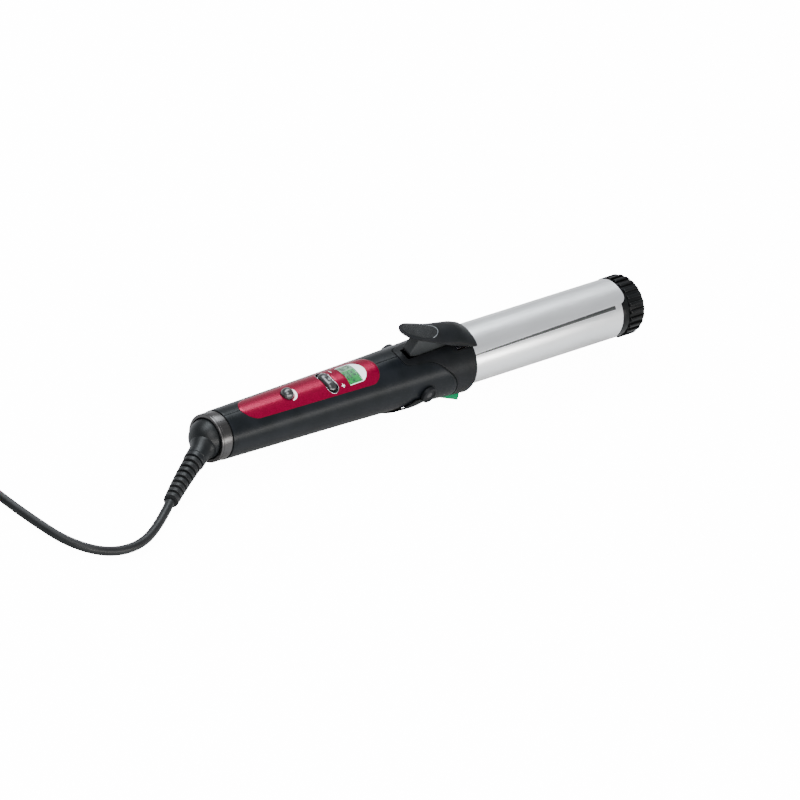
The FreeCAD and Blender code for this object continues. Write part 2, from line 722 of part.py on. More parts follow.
def tip_cap():
    grip = BARREL_LENGTH + TIP_FLANGE + TIP_GROOVE
    outer = rounded_rod(TIP_R, grip, tip_end(), TIP_ROUND)
    cap = rounded_rod(TIP_CORE_R, grip, tip_end() - (TIP_R - TIP_CORE_R), TIP_ROUND)
    cap = cap.fuse(tip_ribs(outer, grip))
    cap = cap.fuse(rod_x(TIP_CORE_R - TIP_GROOVE, grip - TIP_GROOVE, grip))
    cap = cap.fuse(rod_x(BARREL_R, BARREL_LENGTH, grip - TIP_GROOVE))
    plug_r = BARREL_R - BARREL_WALL
    bore = plug_r - TIP_PLUG_WALL
    cap = cap.fuse(tube_x(bore, plug_r, BARREL_LENGTH - TIP_PLUG_DEPTH, BARREL_LENGTH))
    cap = cap.cut(rod_x(bore, BARREL_LENGTH - 1, tip_end() - TIP_END_T))
    cap = cap.fuse(tube_x(TIP_SCREW_R, TIP_POST_R, BARREL_LENGTH - END_PLUG_BACK, tip_end() - TIP_END_T))
    cap = cap.cut(rod_x(INSERT_R, tip_end() - INSERT_T, tip_end() + 1))
    cap = cap.cut(rod_x(TIP_HEAD_R, tip_end() - INSERT_T - TIP_HEAD_ROOM, tip_end()))
    return cap.cut(rod_x(TIP_SCREW_R, BARREL_LENGTH, tip_end())).removeSplitter()


def tip_insert():
    return rounded_rod(INSERT_R, tip_end() - INSERT_T, tip_end(), INSERT_ROUND)


def tip_screw():
    head = tip_end() - INSERT_T - TIP_HEAD_ROOM
    shank = rod_x(TIP_SCREW_R, BARREL_LENGTH - END_PLUG_BACK - END_PLUG_T, head)
    return shank.fuse(rod_x(TIP_HEAD_R, head, head + TIP_HEAD_T))


# ---------------------------------------------------------------- panel pieces
def display_surround():
    layer = skin(-DISPLAY_RISE, -HANDLE_LENGTH, 0).cut(skin(WALL, -HANDLE_LENGTH - 1, 1))
    return layer.common(surround_outline()).cut(window_outline())


def display_window():
    layer = skin(-DISPLAY_RISE, -HANDLE_LENGTH, 0).cut(skin(GLASS_T, -HANDLE_LENGTH - 1, 1))
    return layer.common(window_outline())


def module_top():
    under = skin_radius(WINDOW_REAR_X) - GLASS_T - MODULE_GAP
    return math.sqrt(under ** 2 - WINDOW_HALF ** 2)


def display_block(grow, z0, z1):
    half = WINDOW_HALF + min(grow, 0.0)
    return box(WINDOW_REAR_X - grow, WINDOW_FRONT_X + grow, -half, half, z0, z1)


def display_module():
    return display_block(-MODULE_GAP, module_top() - MODULE_T, module_top())


def display_holder():
    return display_block(HOLDER_RIM, BOARD_Z + BOARD_T, module_top() - MODULE_T)


def rocker_trim():
    layer = skin(-TRIM_RISE, -HANDLE_LENGTH, 0).cut(skin(PANEL_T, -HANDLE_LENGTH - 1, 1))
    return layer.common(trim_outline()).cut(rocker_opening())


def temperature_rocker():
    top = skin_radius(ROCKER_X) + ROCKER_RISE
    low = ROCKER_PIVOT_Z + ROCKER_UNDER
    bar = capsule_prism(ROCKER_X, ROCKER_HALF_W, ROCKER_LENGTH, low, FAR / 4)
    bar = bar.common(skin(-ROCKER_RISE, -HANDLE_LENGTH, 0))
    bar = bar.cut(rod_x(ROCKER_DIP_R, -HANDLE_LENGTH, 0, 0, top + ROCKER_DIP_UP))
    post = box(ROCKER_X - ROCKER_POST_X, ROCKER_X + ROCKER_POST_X, -ROCKER_POST_Y, ROCKER_POST_Y,
               ROCKER_PIVOT_Z - ROCKER_POST_LOW, low + ROCKER_SINK)
    pin = rod_x(ROCKER_PIN_R, ROCKER_X - ROCKER_PIN_HALF, ROCKER_X + ROCKER_PIN_HALF, 0,
                ROCKER_PIVOT_Z)
    feet = [rod_z(ROCKER_FOOT_R, low - ROCKER_FOOT_LENGTH, low + ROCKER_SINK, ROCKER_X,
                  side * ROCKER_FOOT_Y) for side in (-1, 1)]
    return bar.multiFuse([post, pin] + feet).removeSplitter()


def rocker_carrier():
    """The cradle that holds the rocker's pin, on the board."""
    floor = BOARD_Z + BOARD_T
    near, far = CRADLE_EARS
    y = CRADLE_HALF
    body = box(ROCKER_X - far, ROCKER_X + far, -y, y, floor, floor + CRADLE_FLOOR_T)
    for x0, x1 in ((-far, -near), (near, far)):
        ear = box(ROCKER_X + x0, ROCKER_X + x1, -y, y, floor, ROCKER_PIVOT_Z + CRADLE_TOP)
        body = body.fuse(ear)
    bore = rod_x(ROCKER_PIN_R + SLIP, ROCKER_X - far - 1, ROCKER_X + far + 1, 0, ROCKER_PIVOT_Z)
    return body.cut(bore).removeSplitter()


def power_button():
    z = skin_radius(BUTTON_X)
    inner = z - WALL
    flange_top = math.sqrt(inner ** 2 - BUTTON_FLANGE_R ** 2) - BUTTON_GAP
    dome = Part.makeSphere(BUTTON_R, V(BUTTON_X, 0, z)).common(box(-FAR, FAR, -FAR, FAR, z, FAR))
    neck = rod_z(BUTTON_R, flange_top, z, BUTTON_X)
    flange = rod_z(BUTTON_FLANGE_R, flange_top - BUTTON_FLANGE_T, flange_top, BUTTON_X)
    foot = BOARD_Z + BOARD_T + SWITCH_T + BUTTON_TRAVEL + BUTTON_GAP
    stem = rod_z(BUTTON_STEM_R, foot, flange_top, BUTTON_X)
    return dome.multiFuse([neck, flange, stem]).removeSplitter()


def circuit_board():
    return box(BOARD_REAR_X, BOARD_FRONT_X, -BOARD_HALF, BOARD_HALF, BOARD_Z, BOARD_Z + BOARD_T)


def button_switches():
    top = BOARD_Z + BOARD_T
    half = SWITCH / 2
    places = [(BUTTON_X, 0.0), (ROCKER_X, -ROCKER_FOOT_Y), (ROCKER_X, ROCKER_FOOT_Y)]
    return Part.makeCompound([box(x - half, x + half, y - half, y + half, top, top + SWITCH_T)
                              for x, y in places])


def terminal_block():
    return box(TERMINAL_REAR_X, TERMINAL_FRONT_X, -TERMINAL_HALF, TERMINAL_HALF, *TERMINAL_Z)


def ion_generator():
    return box(*ION_BOX_X, -ION_BOX_HALF, ION_BOX_HALF, *ION_BOX_Z)


# ---------------------------------------------------------------- ion nozzle
def nozzle_block():
    edge = BARREL_R + COLLAR_STEP
    inner = BARREL_R + NOZZLE_LIP
    rear = skin_radius(NOZZLE_REAR_X)
    points = [(NOZZLE_REAR_X, rear - WALL), (NOZZLE_REAR_X, rear + SLIP),
              (NOZZLE_APEX_X, edge + NOZZLE_PROUD), (NOZZLE_FRONT_X, edge - NOZZLE_LIP),
              (NOZZLE_FRONT_X, inner), (-LIP_DEPTH - 1.0, inner)]
    return lathe_x(points, 180 - NOZZLE_HALF_ANGLE, 2 * NOZZLE_HALF_ANGLE)


def ion_nozzle():
    nozzle = nozzle_block().cut(rod_x(JET_R, NOZZLE_REAR_X + JET_START, FAR, 0, JET_Z))
    return nozzle.cut(under_floor())


def ion_needle():
    return rod_x(NEEDLE_R, NOZZLE_REAR_X + JET_START, NEEDLE_FRONT_X, 0, JET_Z)


# ---------------------------------------------------------------- stand
def stand_sleeve():
    x0, x1 = STAND_X - STAND_REACH, STAND_X + STAND_EYE_R
    outer = skin(-STAND_GAP - STAND_T, x0, x1)
    return outer.cut(skin(-STAND_GAP, x0 - 1, x1 + 1))


def stand_inside_y():
    return skin_radius(STAND_X + STAND_EYE_R) + MOVE_GAP


def strap_outline():
    """The folded strap seen from the side."""
    slant = math.radians(STAND_SLANT)
    along = V(-math.cos(slant), 0, -math.sin(slant)) * STAND_REACH
    across = V(math.sin(slant), 0, -math.cos(slant)) * STAND_HALF_W
    pivot = V(STAND_X, 0, 0)
    corners = [pivot + across, pivot + across + along, pivot - across + along, pivot - across]
    return [(c.x, c.z) for c in corners]


def stand():
    band = stand_sleeve().common(side_prism(strap_outline(), -FAR / 4, FAR / 4))
    inside = stand_inside_y()
    outside = skin_radius(STAND_X) + STAND_GAP + STAND_T + EYE_PROUD
    for side in (-1, 1):
        y0, y1 = sorted((side * inside, side * outside))
        band = band.fuse(rod_y(STAND_EYE_R, y0, y1, STAND_X, 0))
    pin = rod_y(STAND_PIN_R + SLIP, -FAR / 4, FAR / 4, STAND_X, 0)
    return band.cut(pin).removeSplitter()


def stand_pins():
    outside = skin_radius(STAND_X) + STAND_GAP + STAND_T + EYE_PROUD - STAND_PIN_SUNK
    inner_end = skin_radius(STAND_X) - WALL - STAND_PIN_HEAD_T - SLIP
    pins = []
    for side in (-1, 1):
        y0, y1 = sorted((side * inner_end, side * outside))
        h0, h1 = sorted((side * inner_end, side * (inner_end + STAND_PIN_HEAD_T)))
        head = rod_y(STAND_PIN_HEAD_R, h0, h1, STAND_X, 0)
        pins.append(rod_y(STAND_PIN_R, y0, y1, STAND_X, 0).fuse(head))
    return Part.makeCompound(pins)


# ---------------------------------------------------------------- rear ring and swivel
def rear_ring():
    rear = -HANDLE_LENGTH - RING_LENGTH
    ring = tube_x(BALL_R + RING_GAP, RING_R, rear, -HANDLE_LENGTH)
    rims = [e for e in ring.Edges if e.BoundBox.ZLength > 2 * RING_R - 0.1]
    return ring.makeFillet(RING_ROUND, rims)


def swivel_socket():
    rear = -HANDLE_LENGTH
    return tube_x(STEM_R + SLIP, BULKHEAD_R, rear, rear + BULKHEAD_T)


def ball_x():
    return -HANDLE_LENGTH - BALL_BACK


def neck_end():
    return V(ball_x(), 0, 0) + NECK_WAY * NECK_REACH


def swivel_dome():
    centre = V(ball_x(), 0, 0)
    face = -HANDLE_LENGTH - EASY_GAP
    ball = Part.makeSphere(BALL_R, centre).common(box(-FAR, face, -FAR, FAR, -FAR, FAR))
    stem = rod_x(STEM_R, ball_x(), -HANDLE_LENGTH + STEM_LENGTH)
    neck = Part.makeCylinder(NECK_R, NECK_REACH, centre, NECK_WAY)
    neck = neck.common(box(-FAR, ball_x() - NECK_START, -FAR, FAR, -FAR, FAR))
    return ball.fuse(stem).fuse(neck).removeSplitter()


def swivel_clip():
    x0 = -HANDLE_LENGTH + BULKHEAD_T + MOVE_GAP
    return tube_x(STEM_R, CLIP_R, x0, x0 + CLIP_T)


def slip_ring_starts():
    first = -HANDLE_LENGTH + BULKHEAD_T + MOVE_GAP + CLIP_T + SLIP_RING_AHEAD
    return [first, first + SLIP_RING_T + SLIP_RING_SPACE]


def slip_rings():
    return Part.makeCompound([tube_x(STEM_R, SLIP_RING_R, x, x + SLIP_RING_T)
                              for x in slip_ring_starts()])


def contact_blades():
    blades = []
    z = -SLIP_RING_R - BLADE_GAP
    for x, y in zip(slip_ring_starts(), BLADE_Y):
        strip = box(x, TERMINAL_REAR_X, y, y + BLADE_W, z - BLADE_T, z)
        upright = box(TERMINAL_REAR_X - BLADE_T, TERMINAL_REAR_X, y, y + BLADE_W, z - BLADE_T,
                      TERMINAL_Z[0] + BLADE_W)
        blades.append(strip.fuse(upright))
    return Part.makeCompound(blades)


def relief_stations(count):
    """Points and directions along the strain relief's gentle bend."""
    point = neck_end()
    step = RELIEF_LENGTH / (count - 1)
    rows = []
    for i in range(count):
        share = i / (count - 1)
        way = NECK_WAY * (1 - share) + RELIEF_WAY * share
        way.normalize()
        rows.append((point, way, share))
        point = point + way * step
    return rows


def strain_relief():
    rows = relief_stations(RELIEF_SECTIONS)
    core = []
    for point, way, share in rows:
        radius = RELIEF_CORE * (RELIEF_R + (RELIEF_END_R - RELIEF_R) * share)
        core.append(Part.Wire(Part.makeCircle(radius, point, way)))
    body = Part.makeLoft(core, True, False)
    pitch = RELIEF_LENGTH / RELIEF_RIBS
    fine = relief_stations(8 * RELIEF_RIBS + 1)
    for i in range(RELIEF_RIBS):
        point, way, share = fine[8 * i + 3]
        radius = RELIEF_R + (RELIEF_END_R - RELIEF_R) * share
        rib = Part.makeCylinder(radius, pitch * RELIEF_RIB_SHARE, point, way)
        body = body.fuse(rib)
    return body


# ---------------------------------------------------------------- seat on the surface
def foot_line():
    """The line in the XZ plane that the iron lies on: rear ring to front foot."""
    rear = (-HANDLE_LENGTH - RING_LENGTH + RING_ROUND, -RING_R)
    front = (NOZZLE_APEX_X, -(BARREL_R + COLLAR_STEP + NOZZLE_PROUD - FOOT_CUT))
    return rear, front


def seat_angle():
    rear, front = foot_line()
    return math.degrees(math.atan2(rear[1] - front[1], front[0] - rear[0]))


def under_floor():
    (x0, z0), (x1, z1) = foot_line()
    slope = (z1 - z0) / (x1 - x0)
    rear, front = 2 * NOZZLE_REAR_X, BARREL_R
    points = [(rear, z1 + slope * (rear - x1)), (front, z1 + slope * (front - x1)),
              (front, -FAR / 4), (rear, -FAR / 4)]
    return side_prism(points, -FAR / 4, FAR / 4)


def tipped(shape):
    turned = shape.copy()
    turned.rotate(V(0, 0, 0), Y_AXIS, -seat_angle())
    return turned


def seat_shift(shapes):
    """From the tipped axes to the model's: lowest point at 0, centred in plan."""
    low = Part.makeCompound(shapes).optimalBoundingBox(False)
    return V(-(low.XMin + low.XMax) / 2, -(low.YMin + low.YMax) / 2, -low.ZMin)


# ---------------------------------------------------------------- cord
def route_radii(points):
    """The arc at each inner point: 0.45 of the shorter run over the tangent of half the turn."""
    radii = []
    for a, b, c in zip(points, points[1:], points[2:]):
        turn = (b - a).getAngle(c - b)
        radii.append(0.45 * min((b - a).Length, (c - b).Length) / math.tan(turn / 2))
    return radii


def route_wire(points):
    radii = route_radii(points)
    edges = []
    start = points[0]
    for (a, b, c), radius in zip(zip(points, points[1:], points[2:]), radii):
        back = (a - b).normalize()
        on = (c - b).normalize()
        turn = (b - a).getAngle(c - b)
        cut = radius * math.tan(turn / 2)
        enter, leave = b + back * cut, b + on * cut
        inward = (back + on).normalize()
        middle = b + inward * (radius / math.cos(turn / 2) - radius)
        edges.append(Part.LineSegment(start, enter).toShape())
        edges.append(Part.Arc(enter, middle, leave).toShape())
        start = leave
    edges.append(Part.LineSegment(start, points[-1]).toShape())
    return Part.Wire(edges)


def cord_tube(points):
    path = route_wire(points)
    ring = Part.Wire(Part.makeCircle(CORD_R, points[0], points[1] - points[0]))
    tube = path.makePipeShell([ring], True, False)
    print("cord radii", [round(r, 1) for r in route_radii(points)], "length", round(path.Length, 1),
          "volume over section times length", round(tube.Volume / (path.Length * math.pi * CORD_R ** 2), 4))
    return tube


def cord_points(swivel):
    return [V(swivel.x + x, swivel.y + y, z) for x, y, z in CORD_ROUTE]


def coil_place(swivel):
    return V(swivel.x + COIL_CENTRE[0], swivel.y + COIL_CENTRE[1], COIL_BUNDLE_R + TIE_T)


def cord_coil(swivel):
    return Part.makeTorus(COIL_R, COIL_BUNDLE_R, coil_place(swivel), Z_AXIS)


def coil_tie(swivel):
    place = coil_place(swivel)
    at = V(place.x, place.y + COIL_R, place.z)
    outer = Part.makeCylinder(COIL_BUNDLE_R + TIE_T, TIE_W, at - X_AXIS * TIE_W / 2, X_AXIS)
    return outer.cut(cord_coil(swivel))


def tail_ends(swivel):
    x = swivel.x + COIL_CENTRE[0] - COIL_R
    y = swivel.y + TAIL_START_Y
    return V(x, y, TAIL_Z), V(x, y - TAIL_LENGTH, TAIL_Z + TAIL_RISE)


def cord_tail(swivel):
    start, end = tail_ends(swivel)
    return Part.makeCylinder(CORD_R, (end - start).Length, start, end - start)


def plug_grip(swivel):
    start, end = tail_ends(swivel)
    way = (end - start).normalize()
    front = V(end.x, end.y - GRIP_LENGTH, PLUG_HEIGHT / 2)
    rings = [Part.Wire(Part.makeCircle(CORD_R + GRIP_START, end, way)),
             Part.Wire(Part.makeCircle(GRIP_R, front, V(0, -1, 0)))]
    return Part.makeLoft(rings, True, False)


def plug_face_y(swivel):
    return tail_ends(swivel)[1].y - GRIP_LENGTH


def plug_body(swivel):
    x = tail_ends(swivel)[1].x
    y1 = plug_face_y(swivel)
    body = box(x - PLUG_WIDTH / 2, x + PLUG_WIDTH / 2, y1 - PLUG_LENGTH, y1, 0, PLUG_HEIGHT)
    along = [e for e in body.Edges if e.BoundBox.YLength > PLUG_LENGTH - 0.1]
    return body.makeFillet(PLUG_ROUND, along)


def plug_pins(swivel):
    x = tail_ends(swivel)[1].x
    y1 = plug_face_y(swivel) - PLUG_LENGTH
    return Part.makeCompound([
        rod_y(PLUG_PIN_R, y1 - PLUG_PIN_LENGTH, y1, x + side * PLUG_PIN_SPACING / 2, PLUG_HEIGHT / 2)
        for side in (-1, 1)])


# ---------------------------------------------------------------- all the nodes
def iron_nodes():
    shells = both_shells()
    return {
        "handle_shell_left": handle_shell(shells, 1),
        "handle_shell_right": handle_shell(shells, -1),
        "collar": collar(),
        "rear_ring": rear_ring(),
        "swivel_socket": swivel_socket(),
        "control_panel": control_panel(),
        "display_surround": display_surround(),
        "display_window": display_window(),
        "display_module": display_module(),
        "display_holder": display_holder(),
        "rocker_trim": rocker_trim(),
        "rocker_carrier": rocker_carrier(),
        "circuit_board": circuit_board(),
        "button_switches": button_switches(),
        "terminal_block": terminal_block(),
        "contact_blades": contact_blades(),
        "ion_generator": ion_generator(),
        "ion_needle": ion_needle(),
        "ion_nozzle": ion_nozzle(),
        "barrel": barrel(),
        "barrel_carrier": barrel_carrier(),
        "barrel_end_plug": barrel_end_plug(),
        "heater_spreader_upper": heater_spreader(1),
        "heater_spreader_lower": heater_spreader(-1),
        "ptc_heater": ptc_heater(),
        "temperature_sensor": temperature_sensor(),
        "thermal_fuse": thermal_fuse(),
        "lead_wires": lead_wires(),
        "tip_cap": tip_cap(),
        "tip_insert": tip_insert(),
        "tip_screw": tip_screw(),
        "handle_screws": handle_screws(),
        "hinge_pin": hinge_pin(),
        "lever_spring": lever_spring(),
        "stand_pins": stand_pins(),
        "clamp_lever": clamp_lever(),
        "thumb_pad": thumb_pad(),
        "clamp_plate": clamp_plate(),
        "clamp_rivets": clamp_rivets(),
        "stand": stand(),
        "power_button": power_button(),
        "temperature_rocker": temperature_rocker(),
        "swivel_dome": swivel_dome(),
        "swivel_clip": swivel_clip(),
        "slip_rings": slip_rings(),
        "strain_relief": strain_relief(),
    }


def cord_nodes(swivel):
    return {
        "power_cord": cord_tube(cord_points(swivel)),
        "cord_coil": cord_coil(swivel),
        "coil_tie": coil_tie(swivel),
        "cord_tail": cord_tail(swivel),
        "plug_grip": plug_grip(swivel),
        "plug_body": plug_body(swivel),
        "plug_pins": plug_pins(swivel),
    }


def foot_middle():
    """Middle of the flat on the nozzle that the iron stands on."""
    flats = [f for f in ion_nozzle().Faces
             if f.Surface.TypeId == "Part::GeomPlane" and abs(f.normalAt(0, 0).z) > 0.9]
    return min(flats, key=lambda f: f.CenterOfMass.z).CenterOfMass


def placed(point, shift):
    return tipped(Part.Vertex(point)).Point + shift


def main():
    os.makedirs("parts", exist_ok=True)
    nodes = {name: tipped(shape) for name, shape in iron_nodes().items()}
    shift = seat_shift([shape for name, shape in nodes.items() if name != "strain_relief"])
    for shape in nodes.values():
        shape.translate(shift)
    swivel = placed(V(ball_x(), 0, 0), shift)
    nodes.update(cord_nodes(swivel))
    for name, shape in nodes.items():
        if not shape.isValid():
            print("not valid:", name)
        shape.exportStep("parts/" + name + ".step")
    print("seat angle", round(seat_angle(), 4), "shift", [round(c, 3) for c in shift])
    places = {"clamp": V(HINGE_X, 0, hinge_z()), "stand": V(STAND_X, 0, 0),
              "rocker": V(ROCKER_X, 0, ROCKER_PIVOT_Z), "button": V(BUTTON_X, 0, skin_radius(BUTTON_X)),
              "swivel": V(ball_x(), 0, 0), "relief end": relief_stations(RELIEF_SECTIONS)[-1][0],
              "foot": foot_middle()}
    for name, point in places.items():
        print(name, [round(c, 3) for c in placed(point, shift)])
    pins = [solid.CenterOfMass for solid in nodes["plug_pins"].Solids]
    print("plug pins", *[[round(c, 3) for c in pin] for pin in pins])


main()
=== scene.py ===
import json
import math

import bmesh
import bpy
from mathutils import Matrix, Vector


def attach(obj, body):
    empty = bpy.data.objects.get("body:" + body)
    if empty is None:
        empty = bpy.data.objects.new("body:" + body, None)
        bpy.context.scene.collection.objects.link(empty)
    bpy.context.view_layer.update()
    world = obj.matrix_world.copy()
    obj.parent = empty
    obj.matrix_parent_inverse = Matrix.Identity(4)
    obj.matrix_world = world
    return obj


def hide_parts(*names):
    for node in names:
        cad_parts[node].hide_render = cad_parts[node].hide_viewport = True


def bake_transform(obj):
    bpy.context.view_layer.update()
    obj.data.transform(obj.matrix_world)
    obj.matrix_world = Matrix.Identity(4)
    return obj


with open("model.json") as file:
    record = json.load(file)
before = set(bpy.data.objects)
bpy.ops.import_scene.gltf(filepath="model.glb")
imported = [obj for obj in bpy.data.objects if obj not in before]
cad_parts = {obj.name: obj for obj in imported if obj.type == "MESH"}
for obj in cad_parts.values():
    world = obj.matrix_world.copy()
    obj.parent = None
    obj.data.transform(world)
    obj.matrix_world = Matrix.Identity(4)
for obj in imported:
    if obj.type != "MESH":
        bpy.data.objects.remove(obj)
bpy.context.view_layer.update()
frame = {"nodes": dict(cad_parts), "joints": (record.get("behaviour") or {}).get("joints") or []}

# Curling iron. The pieces are drawn in the iron's own axes, in millimetres: x along the barrel
# towards the tip from the front face of the collar, y to the left, z up through the control
# panel. IRON turns those into metres in the model's frame, and cords are drawn in that frame.

NODES = frame["nodes"]
JOINTS = {joint["name"]: joint for joint in frame["joints"]}
MM = 0.001

# sizes shared by several pieces
BARREL_R = 19.0
BARREL_LENGTH = 131.5
HANDLE_LENGTH = 207.0
WALL = 2.4
BALL_BACK = 6.5
FRONT_R = 22.5
PROUD = 0.12           # printed and inlaid pieces above the handle's skin

SWIVEL = Vector(JOINTS["cord_turn"]["pos_m"])
ALONG = Vector(JOINTS["cord_turn"]["axis"]).normalized()
ACROSS = Vector((0, 1, 0))
UP = ALONG.cross(ACROSS)
ORIGIN = SWIVEL + ALONG * (HANDLE_LENGTH + BALL_BACK) * MM
TURN = Matrix((ALONG, ACROSS, UP)).transposed().to_4x4()
IRON = Matrix.Translation(ORIGIN) @ TURN @ Matrix.Scale(MM, 4)
METRES = Matrix.Identity(4)


# ---------------------------------------------------------------- outlines and nets
def table_value(rows, x):
    """Smooth curve through (x, value) rows in order of x, read at x."""
    rows = sorted(rows)
    if x <= rows[0][0]:
        return rows[0][1]
    if x >= rows[-1][0]:
        return rows[-1][1]
    i = max(k for k in range(len(rows) - 1) if rows[k][0] <= x)

    def slope(k):
        a, b = rows[max(k - 1, 0)], rows[min(k + 1, len(rows) - 1)]
        return (b[1] - a[1]) / (b[0] - a[0])

    span = rows[i + 1][0] - rows[i][0]
    t = (x - rows[i][0]) / span
    h = (2 * t ** 3 - 3 * t ** 2 + 1, t ** 3 - 2 * t ** 2 + t, 3 * t ** 2 - 2 * t ** 3, t ** 3 - t ** 2)
    return (h[0] * rows[i][1] + h[1] * span * slope(i)
            + h[2] * rows[i + 1][1] + h[3] * span * slope(i + 1))


def spread(start, end, steps):
    return [start + (end - start) * i / steps for i in range(steps + 1)]


def eased(start, end, steps):
    """Steps that crowd towards both ends."""
    return [start + (end - start) * (1 - math.cos(math.pi * i / steps)) / 2 for i in range(steps + 1)]


def rounded(corners, steps=5):
    """Closed outline through (a, b, radius) corners, each turned at its radius."""
    points = []
    for i, (a, b, radius) in enumerate(corners):
        here = Vector((a, b))
        if radius <= 0:
            points.append((a, b))
            continue
        back = Vector(corners[i - 1][:2]) - here
        on = Vector(corners[(i + 1) % len(corners)][:2]) - here
        half = back.angle(on) / 2
        reach = min(radius / math.tan(half), 0.49 * min(back.length, on.length))
        radius = reach * math.tan(half)
        back.normalize()
        on.normalize()
        centre = here + (back + on).normalized() * radius / math.sin(half)
        start = here + back * reach - centre
        end = here + on * reach - centre
        turn = math.atan2(start.x * end.y - start.y * end.x, start.dot(end))
        for angle in spread(0, turn, steps):
            c, s = math.cos(angle), math.sin(angle)
            points.append((centre.x + start.x * c - start.y * s, centre.y + start.x * s + start.y * c))
    return points


def net(rows, round_rows=False, round_points=False, caps=False):
    """Rows of points as quads, with the first and last rows closed by a face if asked."""
    width = len(rows[0])
    points = [point for row in rows for point in row]
    faces = []
    for i in range(len(rows) - (not round_rows)):
        a, b = i * width, (i + 1) % len(rows) * width
        for j in range(width - (not round_points)):
            k = (j + 1) % width
            faces.append((a + j, a + k, b + k, b + j))
    if caps:
        faces.append(tuple(range(width)))
        faces.append(tuple(range(len(points) - width, len(points))))
    return points, faces


def on_axis(x, radius, degrees):
    """A point round the x axis, degrees from the top towards +y."""
    angle = math.radians(degrees)
    return (x, radius * math.sin(angle), radius * math.cos(angle))


# ---------------------------------------------------------------- pieces
def show(name, data):
    """A new object in the scene that holds the data."""
    obj = bpy.data.objects.new(name, data)
    bpy.context.scene.collection.objects.link(obj)
    return obj


def raw_mesh(name, points, edges=(), faces=(), space=IRON):
    mesh = bpy.data.meshes.new(name)
    mesh.from_pydata([space @ Vector(point) for point in points], edges, faces)
    return mesh


def piece(name, points, faces, space=IRON):
    return tidy(show(name, raw_mesh(name, points, faces=faces, space=space)))


def sheet_facing_up(name, rows):
    """An open sheet of rows of points, turned so that its middle faces up."""
    sheet = piece(name, *net(rows))
    if sheet.data.polygons[len(sheet.data.polygons) // 2].normal.z < 0:
        sheet.data.flip_normals()
    return sheet


def tidy(obj):
    """Merges doubles and turns the faces outwards."""
    work = bmesh.new()
    work.from_mesh(obj.data)
    bmesh.ops.remove_doubles(work, verts=work.verts, dist=0.002 * MM)
    bmesh.ops.dissolve_degenerate(work, edges=work.edges, dist=0.001 * MM)
    bmesh.ops.recalc_face_normals(work, faces=work.faces)
    work.to_mesh(obj.data)
    work.free()
    return obj


def bake(obj):
    """Makes what the modifiers show the piece's own mesh."""
    graph = bpy.context.evaluated_depsgraph_get()
    mesh = bpy.data.meshes.new_from_object(obj.evaluated_get(graph))
    obj.modifiers.clear()
    obj.data = mesh
    return obj


def soften(obj, width, degrees=35, segments=2):
    """Rounds the piece's edges."""
    bevel = obj.modifiers.new("rounded edges", "BEVEL")
    bevel.width = width * MM
    bevel.segments = segments
    bevel.limit_method = "ANGLE"
    bevel.angle_limit = math.radians(degrees)
    bevel.miter_outer = "MITER_ARC"
    return bake(obj)


def thicken(obj, thickness):
    """Gives a sheet its wall, inwards from its outer face."""
    wall = obj.modifiers.new("wall", "SOLIDIFY")
    wall.thickness = thickness * MM
    wall.offset = -1
    wall.use_even_offset = True
    return bake(obj)


def combine(obj, other, operation="DIFFERENCE"):
    change = obj.modifiers.new("combine", "BOOLEAN")
    change.object = other
    change.operation = operation
    change.solver = "EXACT"
    bake(obj)
    bpy.data.objects.remove(other)
    return tidy(obj)


def join(obj, others):
    for other in others:
        combine(obj, other, "UNION")
    return obj


def settle(obj, body, slot, material, *nodes, smooth=32):
    """Shades a finished piece, ties it to its body and hides the CAD nodes it stands in for. The slot is not used.
    """
    obj.data.materials.clear()
    obj.data.materials.append(material)
    obj.data.shade_smooth()
    obj.data.set_sharp_from_angle(angle=math.radians(smooth))
    if nodes:
        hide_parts(*nodes)
    if body:
        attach(obj, body)
    return obj


def ring_round(middle, way, radius, steps, side=None):
    """Points of a circle round a middle, square to way."""
    if side is None:
        side = way.orthogonal().normalized()
    other = way.cross(side)
    return [middle + (side * math.cos(a) + other * math.sin(a)) * radius
            for a in (2 * math.pi * i / steps for i in range(steps))]


def lathe(name, corners, steps=128, sections=5):
    """A closed (x, radius, corner radius) outline spun about the barrel's axis."""
    rows = [[on_axis(x, max(r, 0), 360 * i / steps) for i in range(steps)]
            for x, r in rounded(corners, sections)]
    return piece(name, *net(rows, round_rows=True, round_points=True))


def rod(name, start, way, profile, steps=64, space=IRON):
    """A solid of revolution from start along way: (distance, radius) points, closed at both ends."""
    way = Vector(way).normalized()
    rows = [ring_round(Vector(start) + way * along, way, radius, steps) for along, radius in profile]
    return piece(name, *net(rows, round_points=True, caps=True), space)


def drill(name, start, way, radius, length, steps):
    """A round plug that cuts a hole."""
    return rod(name, start, way, [(0, radius), (length, radius)], steps)


def prism(name, outline, low, high, flat="z"):
    """An outline carried from low to high: in plan, or for flat="y" seen from the side."""
    if flat == "z":
        rows = [[(a, b, level) for a, b in outline] for level in (low, high)]
    else:
        rows = [[(a, level, b) for a, b in outline] for level in (low, high)]
    return piece(name, *net(rows, round_points=True, caps=True))


def circle(x, y, radius, steps=64):
    return [(x + radius * math.cos(2 * math.pi * i / steps), y + radius * math.sin(2 * math.pi * i / steps))
            for i in range(steps)]


def capsule(x, half_width, length, steps=24):
    """Outline of a slot that lies across the handle."""
    reach = length / 2 - half_width
    points = []
    for side in (1, -1):
        for angle in spread(0, math.pi, steps):
            points.append((x + side * half_width * math.cos(angle),
                           side * (reach + half_width * math.sin(angle))))
    return points


# ---------------------------------------------------------------- handle skin
HANDLE_REAR_R = 16.4
HANDLE_TAPER = 0.0197
FLARE = FRONT_R - HANDLE_REAR_R - HANDLE_TAPER * HANDLE_LENGTH
FLARE_LENGTH = 32.0
SEAM_GAP = 0.7


